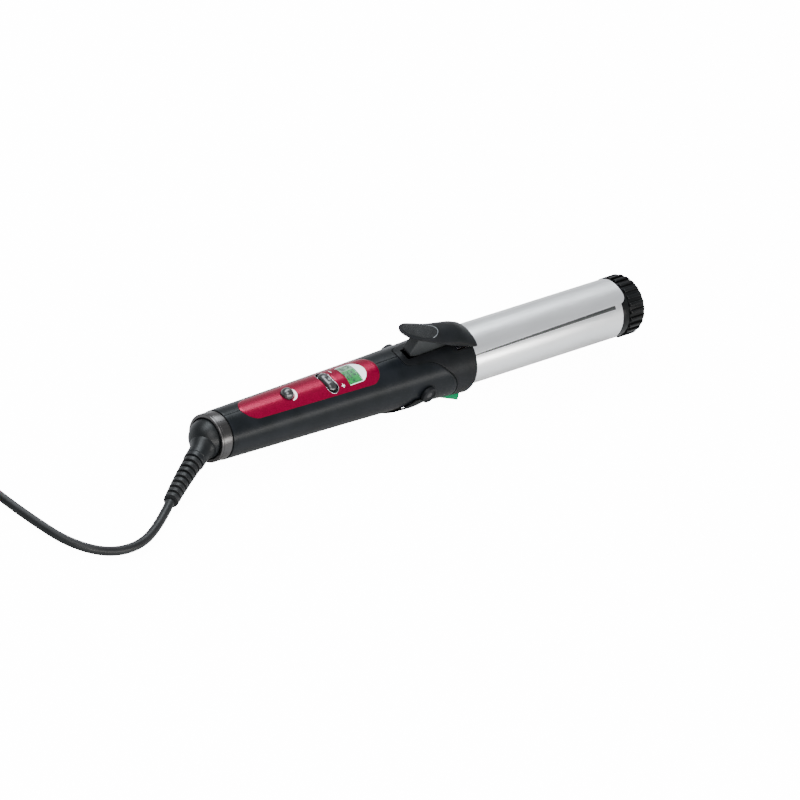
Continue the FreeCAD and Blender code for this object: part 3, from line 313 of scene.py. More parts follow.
def skin_radius(x):
    straight = HANDLE_REAR_R + HANDLE_TAPER * (x + HANDLE_LENGTH)
    return straight + FLARE * math.exp(min(x, 0.0) / FLARE_LENGTH)


def on_skin(x, y, lift=0.0):
    """The point of the handle's upper skin over (x, y), lifted off it."""
    radius = skin_radius(x) + lift
    return (x, y, math.sqrt(max(radius ** 2 - y ** 2, 0)))


def patch(name, left, right, x_range, lift, thickness, across=32, along=48, narrow=None):
    """A curved plate on the skin between y = left and right; x_range(y) gives its ends."""
    rows = []
    for y in eased(left, right, across):
        rows.append([on_skin(x, y * (narrow(x) if narrow else 1), lift) for x in spread(*x_range(y), along)])
    return thicken(sheet_facing_up(name, rows), thickness)


# ---------------------------------------------------------------- shader groups
def effect(name, inputs, outputs):
    """An empty shader node group with named sockets, and its input and output nodes."""
    group = bpy.data.node_groups.new(name, "ShaderNodeTree")
    for label, kind, value in inputs:
        socket = group.interface.new_socket(label, in_out="INPUT", socket_type="NodeSocket" + kind)
        socket.default_value = value
    for label, kind in outputs:
        group.interface.new_socket(label, in_out="OUTPUT", socket_type="NodeSocket" + kind)
    return group, group.nodes.new("NodeGroupInput"), group.nodes.new("NodeGroupOutput")


def add(tree, kind, links=(), **fixed):
    """A new node with constant socket values and (output, input name) links into it."""
    node = tree.nodes.new(kind)
    for label, value in fixed.items():
        node.inputs[label.replace("_", " ")].default_value = value
    for source, label in links:
        tree.links.new(source, node.inputs[label])
    return node


def put_out(tree, result, **sources):
    for label, source in sources.items():
        tree.links.new(source, result.inputs[label.replace("_", " ")])
    return tree


def moulded_grain():
    """The fine pitted skin of moulded plastic, and slow cloudiness over it."""
    group, given, result = effect("moulded grain", [("Scale", "Float", 2500.0), ("Depth", "Float", 0.2)],
                                  [("Pits", "Float"), ("Cloud", "Float"), ("Normal", "Vector")])
    place = add(group, "ShaderNodeTexCoord").outputs["Object"]
    fine = add(group, "ShaderNodeTexNoise",
               [(place, "Vector"), (given.outputs["Scale"], "Scale")], Detail=3.0)
    cloud = add(group, "ShaderNodeTexNoise", [(place, "Vector")], Scale=60.0, Detail=4.0)
    bump = add(group, "ShaderNodeBump",
               [(given.outputs["Depth"], "Strength"), (fine.outputs["Fac"], "Height")],
               Distance=0.00005)
    return put_out(group, result, Pits=fine.outputs["Fac"], Cloud=cloud.outputs["Fac"],
                   Normal=bump.outputs["Normal"])


def drawn_lines():
    """Fine lines left by brushing along the barrel."""
    group, given, result = effect("drawn lines", [("Scale", "Float", 900.0), ("Depth", "Float", 0.1)],
                                  [("Lines", "Float"), ("Cloud", "Float"), ("Normal", "Vector")])
    place = add(group, "ShaderNodeTexCoord").outputs["Object"]
    stretch = add(group, "ShaderNodeMapping", [(place, "Vector")], Rotation=(0, math.asin(ALONG.z), 0),
                  Scale=(0.02, 1, 1))
    lines = add(group, "ShaderNodeTexNoise",
                [(stretch.outputs["Vector"], "Vector"), (given.outputs["Scale"], "Scale")], Detail=4.0)
    cloud = add(group, "ShaderNodeTexNoise", [(place, "Vector")], Scale=25.0)
    bump = add(group, "ShaderNodeBump",
               [(given.outputs["Depth"], "Strength"), (lines.outputs["Fac"], "Height")],
               Distance=0.00004)
    return put_out(group, result, Lines=lines.outputs["Fac"], Cloud=cloud.outputs["Fac"],
                   Normal=bump.outputs["Normal"])


def metal_flakes():
    """Small bright flakes under clear lacquer."""
    group, given, result = effect("metal flakes", [("Scale", "Float", 2600.0)],
                                  [("Flakes", "Float"), ("Normal", "Vector")])
    place = add(group, "ShaderNodeTexCoord").outputs["Object"]
    cells = add(group, "ShaderNodeTexVoronoi", [(place, "Vector"), (given.outputs["Scale"], "Scale")])
    split = add(group, "ShaderNodeSeparateColor", [(cells.outputs["Color"], "Color")])
    bump = add(group, "ShaderNodeBump", [(split.outputs["Green"], "Height")],
               Strength=0.04, Distance=0.00002)
    return put_out(group, result, Flakes=split.outputs["Red"], Normal=bump.outputs["Normal"])


GRAIN = moulded_grain()
DRAWN = drawn_lines()
FLAKES = metal_flakes()


# ---------------------------------------------------------------- materials
def blank(name, **fixed):
    """A material with its shader's constant values set on the shader's own sockets."""
    material = bpy.data.materials.new(name)
    material.use_nodes = True
    shader = material.node_tree.nodes["Principled BSDF"]
    for label, value in fixed.items():
        socket = shader.inputs[label.replace("_", " ")]
        socket.default_value = (*value, 1.0) if isinstance(value, tuple) else value
    return material, shader


def use(material, group, **values):
    node = material.node_tree.nodes.new("ShaderNodeGroup")
    node.node_tree = group
    for label, value in values.items():
        node.inputs[label].default_value = value
    return node


def shaded(material, mask, dark, light):
    """A colour that runs from dark to light with a mask."""
    ramp = material.node_tree.nodes.new("ShaderNodeValToRGB")
    for element, position, colour in zip(ramp.color_ramp.elements, (0.35, 0.65), (dark, light)):
        element.position = position
        element.color = (*colour, 1)
    material.node_tree.links.new(mask, ramp.inputs["Fac"])
    return ramp.outputs["Color"]


def ranged(material, mask, low, high):
    """Stretches the middle of a mask over low to high."""
    scale = add(material.node_tree, "ShaderNodeMapRange", [(mask, "Value")], From_Min=0.3, From_Max=0.7,
                To_Min=low, To_Max=high)
    return scale.outputs["Result"]


def coat(name, effect_node, masks, dark, light, rough, **fixed):
    """A material from one effect: masks name its outputs for the colour and for the roughness."""
    group, values = effect_node
    material, shader = blank(name, **fixed)
    links = material.node_tree.links
    node = use(material, group, **values)
    colour = shaded(material, node.outputs[masks[0]], dark, light)
    links.new(colour, shader.inputs["Base Color"])
    if fixed.get("Emission_Strength"):
        links.new(colour, shader.inputs["Emission Color"])
    if len(masks) > 1:
        links.new(ranged(material, node.outputs[masks[1]], *rough), shader.inputs["Roughness"])
    links.new(node.outputs["Normal"], shader.inputs["Normal"])
    return material


def moulded(name, dark, light, rough, scale=2500.0, depth=0.2, **fixed):
    """Moulded plastic, rubber or ceramic: grain in colour, roughness and relief."""
    return coat(name, (GRAIN, {"Scale": scale, "Depth": depth}), ("Cloud", "Pits"),
                dark, light, rough, **fixed)


def drawn(name, dark, light, rough, scale=900.0, depth=0.1):
    """Brushed or drawn metal."""
    return coat(name, (DRAWN, {"Scale": scale, "Depth": depth}), ("Cloud", "Lines"), dark, light, rough,
                Metallic=1.0)


def flaked(name, dark, light, rough, metallic, **fixed):
    """Metallic lacquer: flakes under a clear coat."""
    return coat(name, (FLAKES, {}), ("Flakes",), dark, light, None,
                Metallic=metallic, Roughness=rough, **fixed)


def glowing(name, dark, light, rough, strength, **fixed):
    """Backlit plastic, or plastic given a painted glow in place of light: the same cloudy colour on surface and
    glow.
    """
    return coat(name, (GRAIN, {"Scale": 1200.0, "Depth": 0.08}), ("Cloud", "Pits"), dark, light, rough,
                Emission_Strength=strength, **fixed)


# name, dark and light colour, roughness range, size and depth of the grain
HANDLE_BLACK = moulded("satin black handle", (0.003, 0.004, 0.005), (0.006, 0.007, 0.009),
                       (0.30, 0.36), 2200.0, 0.1, Specular_IOR_Level=0.12)
COLLAR_BLACK = moulded("textured black collar", (0.003, 0.0035, 0.004), (0.006, 0.0065, 0.008),
                       (0.40, 0.50), 1500.0, 0.35, Specular_IOR_Level=0.12)
# the clamp's web: the lever's black plastic painted lighter and glossier, a painted sheen for the light on its
# side face
WEB_PAINTED_SHEEN = moulded("black web painted lighter as sheen", (0.012, 0.0135, 0.014), (0.020, 0.022, 0.023),
                   (0.40, 0.50), 1500.0, 0.3, Specular_IOR_Level=0.25)
PAD_BLACK = moulded("black grip rubber", (0.004, 0.0045, 0.005), (0.008, 0.009, 0.010),
                    (0.36, 0.50), 1800.0, 0.2, Specular_IOR_Level=0.22)
# lip in front of the thumb pad: grey as a painted highlight along the pad's front edge
LIP_PAINTED_HIGHLIGHT = moulded("pad lip painted grey as highlight", (0.10, 0.11, 0.12), (0.15, 0.16, 0.17), (0.28, 0.36), 1500.0, 0.2)
GLOSS_BLACK = moulded("gloss black swivel", (0.002, 0.0025, 0.003), (0.004, 0.005, 0.006),
                      (0.38, 0.44), 900.0, 0.03, Specular_IOR_Level=0.22)
TIP_BLACK = moulded("heat resistant black", (0.002, 0.0022, 0.0025), (0.004, 0.0045, 0.005),
                    (0.28, 0.38), 1500.0, 0.2, Specular_IOR_Level=0.14)
CORD_BLACK = moulded("cord rubber", (0.004, 0.0045, 0.005), (0.009, 0.0095, 0.010),
                     (0.38, 0.50), 1400.0, 0.4, Specular_IOR_Level=0.22)
CRIMSON = flaked("crimson lacquer", (0.17, 0.0001, 0.019), (0.23, 0.0002, 0.029),
                 0.26, 0.6, Coat_Weight=0.06,
                 Coat_Roughness=0.12, Specular_IOR_Level=0.12)
GUNMETAL = flaked("gunmetal lacquer", (0.055, 0.056, 0.058), (0.075, 0.076, 0.078),
                  0.30, 0.9, Coat_Weight=0.25,
                  Coat_Roughness=0.15)
SMOKY_CHROME = drawn("smoky chrome", (0.075, 0.072, 0.072), (0.105, 0.101, 0.101),
                     (0.26, 0.34), 600.0, 0.02)
# dark steel for the clamp plate's edges: painted shade of the edge and of the gap under the plate
PAINTED_SHADE_STEEL = drawn("shaded steel edge", (0.06, 0.065, 0.065), (0.09, 0.095, 0.095), (0.45, 0.55))
BRIGHT_CHROME = drawn("bright chrome", (0.42, 0.42, 0.44), (0.52, 0.52, 0.54), (0.14, 0.20), 600.0, 0.03)
SATIN_SILVER = drawn("satin silver", (0.90, 0.91, 0.92), (0.96, 0.97, 0.98), (0.30, 0.36), 900.0, 0.06)
STEEL = drawn("steel", (0.45, 0.46, 0.48), (0.60, 0.61, 0.63), (0.25, 0.35))
NICKEL = drawn("nickel plating", (0.62, 0.60, 0.55), (0.74, 0.72, 0.66), (0.16, 0.24), 1200.0, 0.05)
BRASS = drawn("brass", (0.60, 0.40, 0.14), (0.74, 0.52, 0.20), (0.22, 0.32))
ALUMINIUM = drawn("cast aluminium", (0.50, 0.50, 0.51), (0.64, 0.64, 0.65), (0.40, 0.55), 300.0, 0.3)
WHITE_GLOSS = moulded("white display surround", (0.78, 0.90, 0.90), (0.84, 0.94, 0.94),
                      (0.16, 0.22), 900.0, 0.03, Coat_Weight=0.5)
WHITE_INK = moulded("white print", (0.82, 0.82, 0.83), (0.90, 0.90, 0.91), (0.35, 0.45), 3000.0, 0.2)
DARK_SEGMENT = moulded("dark display segment", (0.012, 0.03, 0.02), (0.02, 0.05, 0.03),
                       (0.30, 0.40), 3000.0, 0.05)
PHENOLIC = moulded("brown phenolic", (0.020, 0.012, 0.008), (0.032, 0.018, 0.012), (0.45, 0.60), 500.0, 0.4)
CERAMIC = moulded("white ceramic", (0.74, 0.72, 0.66), (0.84, 0.82, 0.77), (0.50, 0.65), 900.0, 0.3)
HOUSING_GREY = moulded("grey moulding", (0.28, 0.29, 0.30), (0.36, 0.37, 0.38), (0.45, 0.55))
BOARD_GREEN = moulded("solder resist", (0.012, 0.12, 0.045), (0.025, 0.17, 0.065), (0.25, 0.35), 700.0, 0.2)
SWITCH_BLACK = moulded("switch moulding", (0.008, 0.008, 0.009), (0.014, 0.014, 0.015), (0.40, 0.50))
WIRE_RED = moulded("silicone insulation", (0.42, 0.03, 0.02), (0.55, 0.05, 0.03), (0.45, 0.55))


DISPLAY_GREEN = glowing("display green", (0.004, 0.17, 0.030), (0.006, 0.20, 0.040), (0.30, 0.40), 0.2)
DISPLAY_GREY = glowing("display grey", (0.15, 0.24, 0.17), (0.19, 0.29, 0.21), (0.30, 0.40), 0.2)
# the ion nozzle glows as painted light: its green is lifted where it sits in shade, though it is no lamp
PAINTED_GLOW_NOZZLE = glowing("ion nozzle painted glow green", (0.0001, 0.12, 0.045), (0.0002, 0.15, 0.056), (0.30, 0.38), 0.25,
                       Specular_IOR_Level=0.05)


def clear_glass():
    material, shader = blank("clear window", Transmission_Weight=1.0, IOR=1.2,
                             Base_Color=(0.92, 0.98, 0.95))
    grain = use(material, GRAIN, Scale=400.0, Depth=0.01)
    rough = ranged(material, grain.outputs["Cloud"], 0.02, 0.05)
    material.node_tree.links.new(rough, shader.inputs["Roughness"])
    material.node_tree.links.new(grain.outputs["Normal"], shader.inputs["Normal"])
    return material


WINDOW_CLEAR = clear_glass()


# ---------------------------------------------------------------- geometry node trees
def tree(name, sockets):
    """An empty Geometry Nodes tree with a geometry input and output and named inputs."""
    group = bpy.data.node_groups.new(name, "GeometryNodeTree")
    group.interface.new_socket("Geometry", in_out="INPUT", socket_type="NodeSocketGeometry")
    for label, kind in sockets:
        group.interface.new_socket(label, in_out="INPUT", socket_type="NodeSocket" + kind)
    group.interface.new_socket("Geometry", in_out="OUTPUT", socket_type="NodeSocketGeometry")
    return group, group.nodes.new("NodeGroupInput"), group.nodes.new("NodeGroupOutput")


def finish_tree(group, given, result, instances):
    """Ends a tree in real geometry with its material."""
    real = add(group, "GeometryNodeRealizeInstances", [(instances, "Geometry")])
    paint = add(group, "GeometryNodeSetMaterial",
                [(real.outputs["Geometry"], "Geometry"), (given.outputs["Material"], "Material")])
    return put_out(group, result, Geometry=paint.outputs["Geometry"])


def copies_on(group, points, instance, **turned):
    """Copies of an instance on points, with their rotation and scale."""
    links = [(points, "Points"), (instance, "Instance")]
    links += [(source, label) for label, source in turned.items()]
    return add(group, "GeometryNodeInstanceOnPoints", links).outputs["Instances"]


def facing_along(group, way):
    """The rotation that stands a copy's z axis along a direction."""
    turn = add(group, "FunctionNodeAlignRotationToVector", [(way, "Vector")])
    turn.axis = "Z"
    return turn.outputs["Rotation"]


def flat_size(group, across, tall):
    """A scale that is the same in x and y."""
    size = add(group, "ShaderNodeCombineXYZ", [(across, "X"), (across, "Y"), (tall, "Z")])
    return size.outputs["Vector"]


def math_node(group, operation, a, b):
    node = group.nodes.new("ShaderNodeMath")
    node.operation = operation
    for socket, value in zip(node.inputs, (a, b)):
        if isinstance(value, (int, float)):
            socket.default_value = value
        else:
            group.links.new(value, socket)
    return node.outputs["Value"]


def ribs_round_axis():
    """Copies one rib round the x axis."""
    group, given, result = tree("ribs round the axis", [("Count", "Int"), ("Material", "Material")])
    places = add(group, "GeometryNodeMeshLine", [(given.outputs["Count"], "Count")], Offset=(0, 0, 0))
    index = add(group, "GeometryNodeInputIndex").outputs["Index"]
    share = math_node(group, "DIVIDE", index, given.outputs["Count"])
    angle = math_node(group, "MULTIPLY", share, 2 * math.pi)
    turn = add(group, "ShaderNodeCombineXYZ", [(angle, "X")])
    copies = copies_on(group, places.outputs["Mesh"], given.outputs["Geometry"],
                       Rotation=turn.outputs["Vector"])
    return finish_tree(group, given, result, copies)


def rings_along_path():
    """Rings along a line, from one radius to another."""
    group, given, result = tree("rings along a path", [
        ("Count", "Int"), ("First Radius", "Float"), ("Last Radius", "Float"), ("Ring Length", "Float"),
        ("Material", "Material")])
    count, first, final = (given.outputs[label] for label in ("Count", "First Radius", "Last Radius"))
    line = add(group, "GeometryNodeMeshToCurve", [(given.outputs["Geometry"], "Mesh")])
    even = add(group, "GeometryNodeResampleCurve", [(line.outputs["Curve"], "Curve"), (count, "Count")])
    turn = facing_along(group, add(group, "GeometryNodeInputTangent").outputs["Tangent"])
    index = add(group, "GeometryNodeInputIndex").outputs["Index"]
    share = math_node(group, "DIVIDE", index, math_node(group, "SUBTRACT", count, 1))
    change = math_node(group, "SUBTRACT", final, first)
    radius = math_node(group, "ADD", math_node(group, "MULTIPLY", share, change), first)
    size = flat_size(group, radius, given.outputs["Ring Length"])
    ring = add(group, "GeometryNodeMeshCylinder", Vertices=40, Radius=1.0, Depth=1.0)
    copies = copies_on(group, even.outputs["Curve"], ring.outputs["Mesh"], Rotation=turn, Scale=size)
    return finish_tree(group, given, result, copies)


def studs_on_surface():
    """Low round studs at a mesh's points, standing along its "facing" attribute."""
    group, given, result = tree("studs on a surface", [
        ("Radius", "Float"), ("Height", "Float"), ("Material", "Material")])
    stud = add(group, "GeometryNodeMeshUVSphere", Segments=8, Rings=5, Radius=1.0)
    facing = group.nodes.new("GeometryNodeInputNamedAttribute")
    facing.data_type = "FLOAT_VECTOR"
    facing.inputs["Name"].default_value = "facing"
    turn = facing_along(group, facing.outputs["Attribute"])
    size = flat_size(group, given.outputs["Radius"], given.outputs["Height"])
    copies = copies_on(group, given.outputs["Geometry"], stud.outputs["Mesh"], Rotation=turn, Scale=size)
    return finish_tree(group, given, result, copies)


def grow(obj, group, **values):
    """Runs a tree on a piece with named input values and keeps the result as its mesh."""
    modifier = obj.modifiers.new(group.name, "NODES")
    modifier.node_group = group
    sockets = {item.name: item.identifier for item in group.interface.items_tree if item.in_out == "INPUT"}
    for label, value in values.items():
        modifier[sockets[label.replace("_", " ")]] = value
    return bake(obj)


RIBS = ribs_round_axis()
RINGS = rings_along_path()
STUDS = studs_on_surface()


# ---------------------------------------------------------------- camera, floor and light
def camera():
    """Looks down on the right side from behind the handle, from far off."""
    distance, target_along, target_down = 16.0, -34.7 * MM, -26.7 * MM
    data = bpy.data.cameras.new("camera")
    data.lens = 1128.0
    data.clip_end = 50.0
    obj = show("camera", data)
    right = Vector((0.7139, -0.620, 0.3240)).normalized()
    above = Vector((0.2017, 0.626, 0.7530))
    above = (above - right * above.dot(right)).normalized()
    back = right.cross(above)
    middle = ORIGIN + right * target_along + above * target_down
    obj.matrix_world = (Matrix.Translation(middle + back * distance)
                        @ Matrix((right, above, back)).transposed().to_4x4())
    bpy.context.scene.camera = obj


FLOOR_GLOW = 14.0
SKY_STRENGTH = 0.62
# name, place, aim, size, power and tint
LIGHTS = [("overhead", (-0.1, 0.75, 1.3), (0, 0, 0), (2.2, 0.7), 50, (0.90, 0.96, 1.0)),
          ("right side", (-0.1, -1.25, 0.42), (0, 0, 0.02), (2.4, 0.30), 34, (1.0, 0.98, 0.95)),
          ("behind camera", (-0.9, -0.6, 1.5), (0, 0, 0.02), (0.9, 0.9), 20, (1.0, 1.0, 1.0))]


def softbox(name, place, aim, size, power, tint):
    data = bpy.data.lights.new(name, "AREA")
    data.shape = "RECTANGLE"
    data.size, data.size_y = size
    data.energy = power
    data.color = tint
    obj = show(name, data)
    obj.location = place
    obj.rotation_euler = (Vector(aim) - Vector(place)).to_track_quat("-Z", "Y").to_euler()


def studio():
    """White floor and soft lights.

    The floor glows for the camera alone, so the iron keeps its dark underside.
    """
    floor = piece("floor", [(-6, -6, 0), (6, -6, 0), (6, 6, 0), (-6, 6, 0)], [(0, 1, 2, 3)], METRES)
    material, shader = blank("white floor", Base_Color=(0.5, 0.5, 0.5), Emission_Color=(1.0, 1.0, 1.0))
    nodes = material.node_tree
    grain = use(material, GRAIN, Scale=40.0, Depth=0.0)
    nodes.links.new(ranged(material, grain.outputs["Cloud"], 0.85, 0.95), shader.inputs["Roughness"])
    seen = add(nodes, "ShaderNodeLightPath").outputs["Is Camera Ray"]
    nodes.links.new(math_node(nodes, "MULTIPLY", seen, FLOOR_GLOW), shader.inputs["Emission Strength"])
    floor.data.materials.append(material)
    floor.location.z = -0.0002
    world = bpy.data.worlds.new("studio")
    bpy.context.scene.world = world
    world.use_nodes = True
    sky = world.node_tree.nodes["Background"]
    sky.inputs["Color"].default_value = (0.95, 0.97, 1.0, 1)
    sky.inputs["Strength"].default_value = SKY_STRENGTH
    for light in LIGHTS:
        softbox(*light)


camera()
studio()


# ---------------------------------------------------------------- handle
# the collar's seam down one side: x, degrees from the top
SEAM = [(-57.5, 0.0), (-56.6, 18.6), (-52.5, 26.3), (-45.0, 29.5), (-37.0, 32.3), (-31.0, 40.5), (-26.0, 52.7),
        (-20.0, 69.3), (-16.6, 85.0), (-14.6, 105.0), (-14.0, 130.0), (-14.0, 180.0)]
SEAM_STEPS = 90
PANEL_ENDS = (-193.0, -77.0)
PANEL_HALF = 12.0
BUTTON_X = -153.0
ROCKER_X = -118.0
SCREWS = [(-176.0, -9.5), (-74.0, -9.5), (-36.0, -13.5)]
STAND_X = -41.0
PIN_ROOM_R = 2.05


def seam_points():
    """The seam as evenly spaced (x, degrees) points from the top to the bottom."""
    rows = [(i, value) for i, value in enumerate(SEAM)]
    fine = [(table_value([(i, v[0]) for i, v in rows], t), table_value([(i, v[1]) for i, v in rows], t))
            for t in spread(0, len(SEAM) - 1, 400)]
    flat = [(x, math.radians(degrees) * FRONT_R) for x, degrees in fine]
    run = [0.0]
    for a, b in zip(flat, flat[1:]):
        run.append(run[-1] + math.dist(a, b))
    points = []
    for goal in spread(0, run[-1], SEAM_STEPS):
        k = max(i for i, value in enumerate(run) if value <= goal + 1e-9)
        k = min(k, len(fine) - 2)
        part = (goal - run[k]) / (run[k + 1] - run[k])
        points.append((fine[k][0] + (fine[k + 1][0] - fine[k][0]) * part,
                       fine[k][1] + (fine[k + 1][1] - fine[k][1]) * part))
    return points


SEAM_LINE = seam_points()


def panel_range(half, ends, bow, corner, grown=0.0):
    """The x range of the control panel's outline at y: bowed ends with rounded corners."""
    def at(y):
        inset = max(abs(y) - (half - corner), 0)
        turn = corner - math.sqrt(max(corner ** 2 - inset ** 2, 0))
        curve = [bow_end * min(abs(y) / half, 1) ** 2 for bow_end in bow]
        return ends[0] + curve[0] + turn - grown, ends[1] - curve[1] - turn + grown
    return at


def panel_narrow(x):
    """How much narrower the panel is towards the rear."""
    return 1 - 0.0024 * max(-86.0 - x, 0)


def panel_plate(name, grown, lift, thickness):
    half = PANEL_HALF + grown
    at = panel_range(half, PANEL_ENDS, (7.0, 5.0), 4.0, grown)
    return patch(name, -half, half, at, lift, thickness, 40, 60, panel_narrow)


TOP_SEAM = 0.42        # half of the fine gap between the two shells, in degrees


def handle_shell(side):
    """One half of the handle: skin from the collar's seam back to the ring, with its wall."""
    rows = []
    last = len(SEAM_LINE) - 1
    for i, (x0, degrees0) in enumerate(SEAM_LINE):
        row = []
        for j, share in enumerate(spread(0, 1, 110)):
            degrees = degrees0 + (180 * i / last - degrees0) * share
            degrees = min(max(degrees, TOP_SEAM), 180 - TOP_SEAM)
            x = x0 - SEAM_GAP / 2 + (-HANDLE_LENGTH - x0 + SEAM_GAP / 2) * share
            row.append(on_axis(x, skin_radius(x), side * degrees))
        rows.append(row)
    node = "handle_shell_left" if side > 0 else "handle_shell_right"
    shell = piece(node + "_body", *net(rows))
    middle = shell.data.polygons[len(shell.data.polygons) // 2]
    if middle.normal.y * side < 0:
        shell.data.flip_normals()
    thicken(shell, WALL)
    combine(shell, panel_plate("recess", 0.15, 1.0, 2.2))
    combine(shell, nozzle_solid("nozzle room", 0.12))
    combine(shell, prism("display room", surround_outline(0.2), 5, 30))
    if side > 0:
        for x, z in SCREWS:
            combine(shell, drill("screw room", (x, 5, z), (0, 1, 0), 2.7, 20, 40))
    soften(shell, 0.28, 40, 2)
    return settle(shell, "handle", "handle_black", HANDLE_BLACK, node)


def collar_rows():
    """The collar's wall as closed (x, radius) outlines, one for each step of the seam."""
    rows = []
    line = SEAM_LINE + [(x, 360 - degrees) for x, degrees in reversed(SEAM_LINE[1:-1])]
    last = SEAM_STEPS * 2
    for i, (x0, degrees0) in enumerate(line):
        start = x0 + SEAM_GAP / 2
        outer = [(x, skin_radius(x), 0) for x in spread(start, -3.5, 14)[1:]]
        inner = [(x, skin_radius(x) - WALL, 0) for x in spread(-5.0, start, 8)[:-1]]
        outline = rounded([(start, skin_radius(start), 0.35)] + outer
                          + [(0, FRONT_R, 2.2), (0, BARREL_R + 0.05, 0.3), (-3.0, BARREL_R + 0.05, 0)]
                          + inner + [(start, skin_radius(start) - WALL, 0)], 6)
        row = []
        for x, radius in outline:
            share = (x - start) / (0 - start)
            degrees = degrees0 + (360 * i / last - degrees0) * max(min(share, 1), 0)
            row.append(on_axis(x, radius, degrees))
        rows.append(row)
    return rows


WEB_HALF = 3.75
SLOT_HALF = 4.6
SLOT_ENDS = (-52.2, -12.0)
NOTCH_HALF = 10.0
NOTCH_REAR = -13.2
OPENING_FLOOR = 8.6    # how deep the slot and notch reach down
HINGE = (-20.0, 16.5)
HINGE_HOLE_R = 1.55


def collar():
    """The wide front housing, open over the clamp's web and tongue."""
    body = piece("collar_body", *net(collar_rows(), round_rows=True, round_points=True))
    slot = rounded([(SLOT_ENDS[0], -SLOT_HALF, 1.2), (SLOT_ENDS[1], -SLOT_HALF, 0),
                    (SLOT_ENDS[1], SLOT_HALF, 0), (SLOT_ENDS[0], SLOT_HALF, 1.2)])
    notch = [(NOTCH_REAR, -NOTCH_HALF), (4, -NOTCH_HALF), (4, NOTCH_HALF), (NOTCH_REAR, NOTCH_HALF)]
    for name, outline in (("slot", slot), ("notch", notch)):
        combine(body, prism(name, outline, OPENING_FLOOR, 60))
    combine(body, nozzle_solid("nozzle room", 0.12))
    soften(body, 0.3, 45, 2)
    for side in (-1, 1):
        y0, y1 = sorted((side * 4.35, side * 8.6))
        outline = rounded([(-25, 12.6, 1), (-15, 12.6, 1), (-15, 19.0, 1), (-25, 18.4, 1)])
        ear = prism("ear", outline, y0, y1, "y")
        join(body, [ear])
    return settle(body, "handle", "collar_black", COLLAR_BLACK, "collar")


# ---------------------------------------------------------------- ion nozzle
def floor_height(x):
    """The surface that the iron stands on, in its own axes."""
    return -(ORIGIN.z / MM + x * ALONG.z) / UP.z


def nozzle_solid(name, grown=0.0):
    """The ramp under the collar: flush behind, proud at the front, flat where it stands."""
    rear, ramp, low, front = -28.0, -18.5, (-3.6, 26.5), (-0.6, 21.9)
    inside = 19.6
    outline = rounded([(rear - grown, skin_radius(rear) - WALL, 0),
                       (rear - grown, skin_radius(rear) + 0.05 + grown, 0),
                       (ramp, skin_radius(ramp) + 0.1 + grown, 0), (low[0], low[1] + grown, 0.7),
                       (front[0] + grown, front[1] + grown, 0.3), (front[0] + grown, inside, 0),
                       (-5.0, inside, 0)], 4)
    spread_out = 40.0 + math.degrees(grown / FRONT_R)
    rows = [[on_axis(x, radius, 180 + degrees) for x, radius in outline]
            for degrees in spread(-spread_out, spread_out, 28)]
    rows = [[(x, y, max(z, floor_height(x) - grown)) for x, y, z in row] for row in rows]
    return piece(name, *net(rows, round_points=True, caps=True))


def ion_nozzle():
    body = nozzle_solid("ion_nozzle_body")
    combine(body, drill("jet", (-10, 0, -22.8), (1, 0, 0), 1.5, 14, 40))
    soften(body, 0.4, 30, 3)
    # the nozzle's glow is painted light
    return settle(body, "handle", "nozzle_green", PAINTED_GLOW_NOZZLE, "ion_nozzle")


# ---------------------------------------------------------------- control panel
SURROUND = (-104.35, -93.4, -87.0, 8.35)      # rear, end of the sides, front, half width
WINDOW = (-104.3, -93.2, 8.0)
THROUGH = (8, 30)      # heights between which a cut passes the skin


def surround_front(y):
    """Front edge of the display surround: an arc across it."""
    _, side, front, half = SURROUND
    depth = front - side
    radius = (half ** 2 + depth ** 2) / (2 * depth)
    return front - radius + math.sqrt(radius ** 2 - min(abs(y), half) ** 2)


def surround_outline(grown=0.0):
    rear, side, _, half = SURROUND
    arc = [(surround_front(y) + grown, y) for y in spread(half, -half, 24)]
    return [(rear - grown, -half - grown), (side, -half - grown), *reversed(arc), (side, half + grown),
            (rear - grown, half + grown)]


def control_panel():
    plate = panel_plate("control_panel_plate", 0.0, PROUD, 1.2)
    for name, outline in (("display", surround_outline(0.12)), ("rocker", capsule(ROCKER_X, 4.72, 19.72)),
                          ("button", circle(BUTTON_X, 0, 4.7))):
        combine(plate, prism(name, outline, *THROUGH))
    soften(plate, 0.22, 40, 2)
    return settle(plate, "handle", "crimson_panel", CRIMSON, "control_panel")


def display_surround():
    rear, _, _, half = SURROUND
    plate = patch("display_surround_plate", -half, half, lambda y: (rear, surround_front(y)),
                  0.3, 2.0, 40, 24)
    rear, front, half = WINDOW
    opening = rounded([(rear - 0.6, -half, 0), (front, -half, 0.6), (front, half, 0.6), (rear - 0.6, half, 0)])
    combine(plate, prism("opening", opening, *THROUGH))
    soften(plate, 0.2, 40, 3)
    return settle(plate, "handle", "white_surround", WHITE_GLOSS, "display_surround")


def display_window():
    rear, front, half = WINDOW
    plate = patch("display_window_glass", -half + 0.05, half - 0.05,
                  lambda y: (rear + 0.05, front - 0.05), 0.1, 0.8)
    return settle(plate, "handle", "display_glass", WINDOW_CLEAR, "display_window")


def segment(x0, x1, y0, y1, depth=-0.78):
    """One dark block of the display, just above the lit layer."""
    under = depth - 0.12
    rows = [[on_skin(x, y, level) for x, level in ((x0, depth), (x1, depth), (x1, under), (x0, under))]
            for y in spread(y0, y1, 3)]
    return net(rows, round_points=True, caps=True)


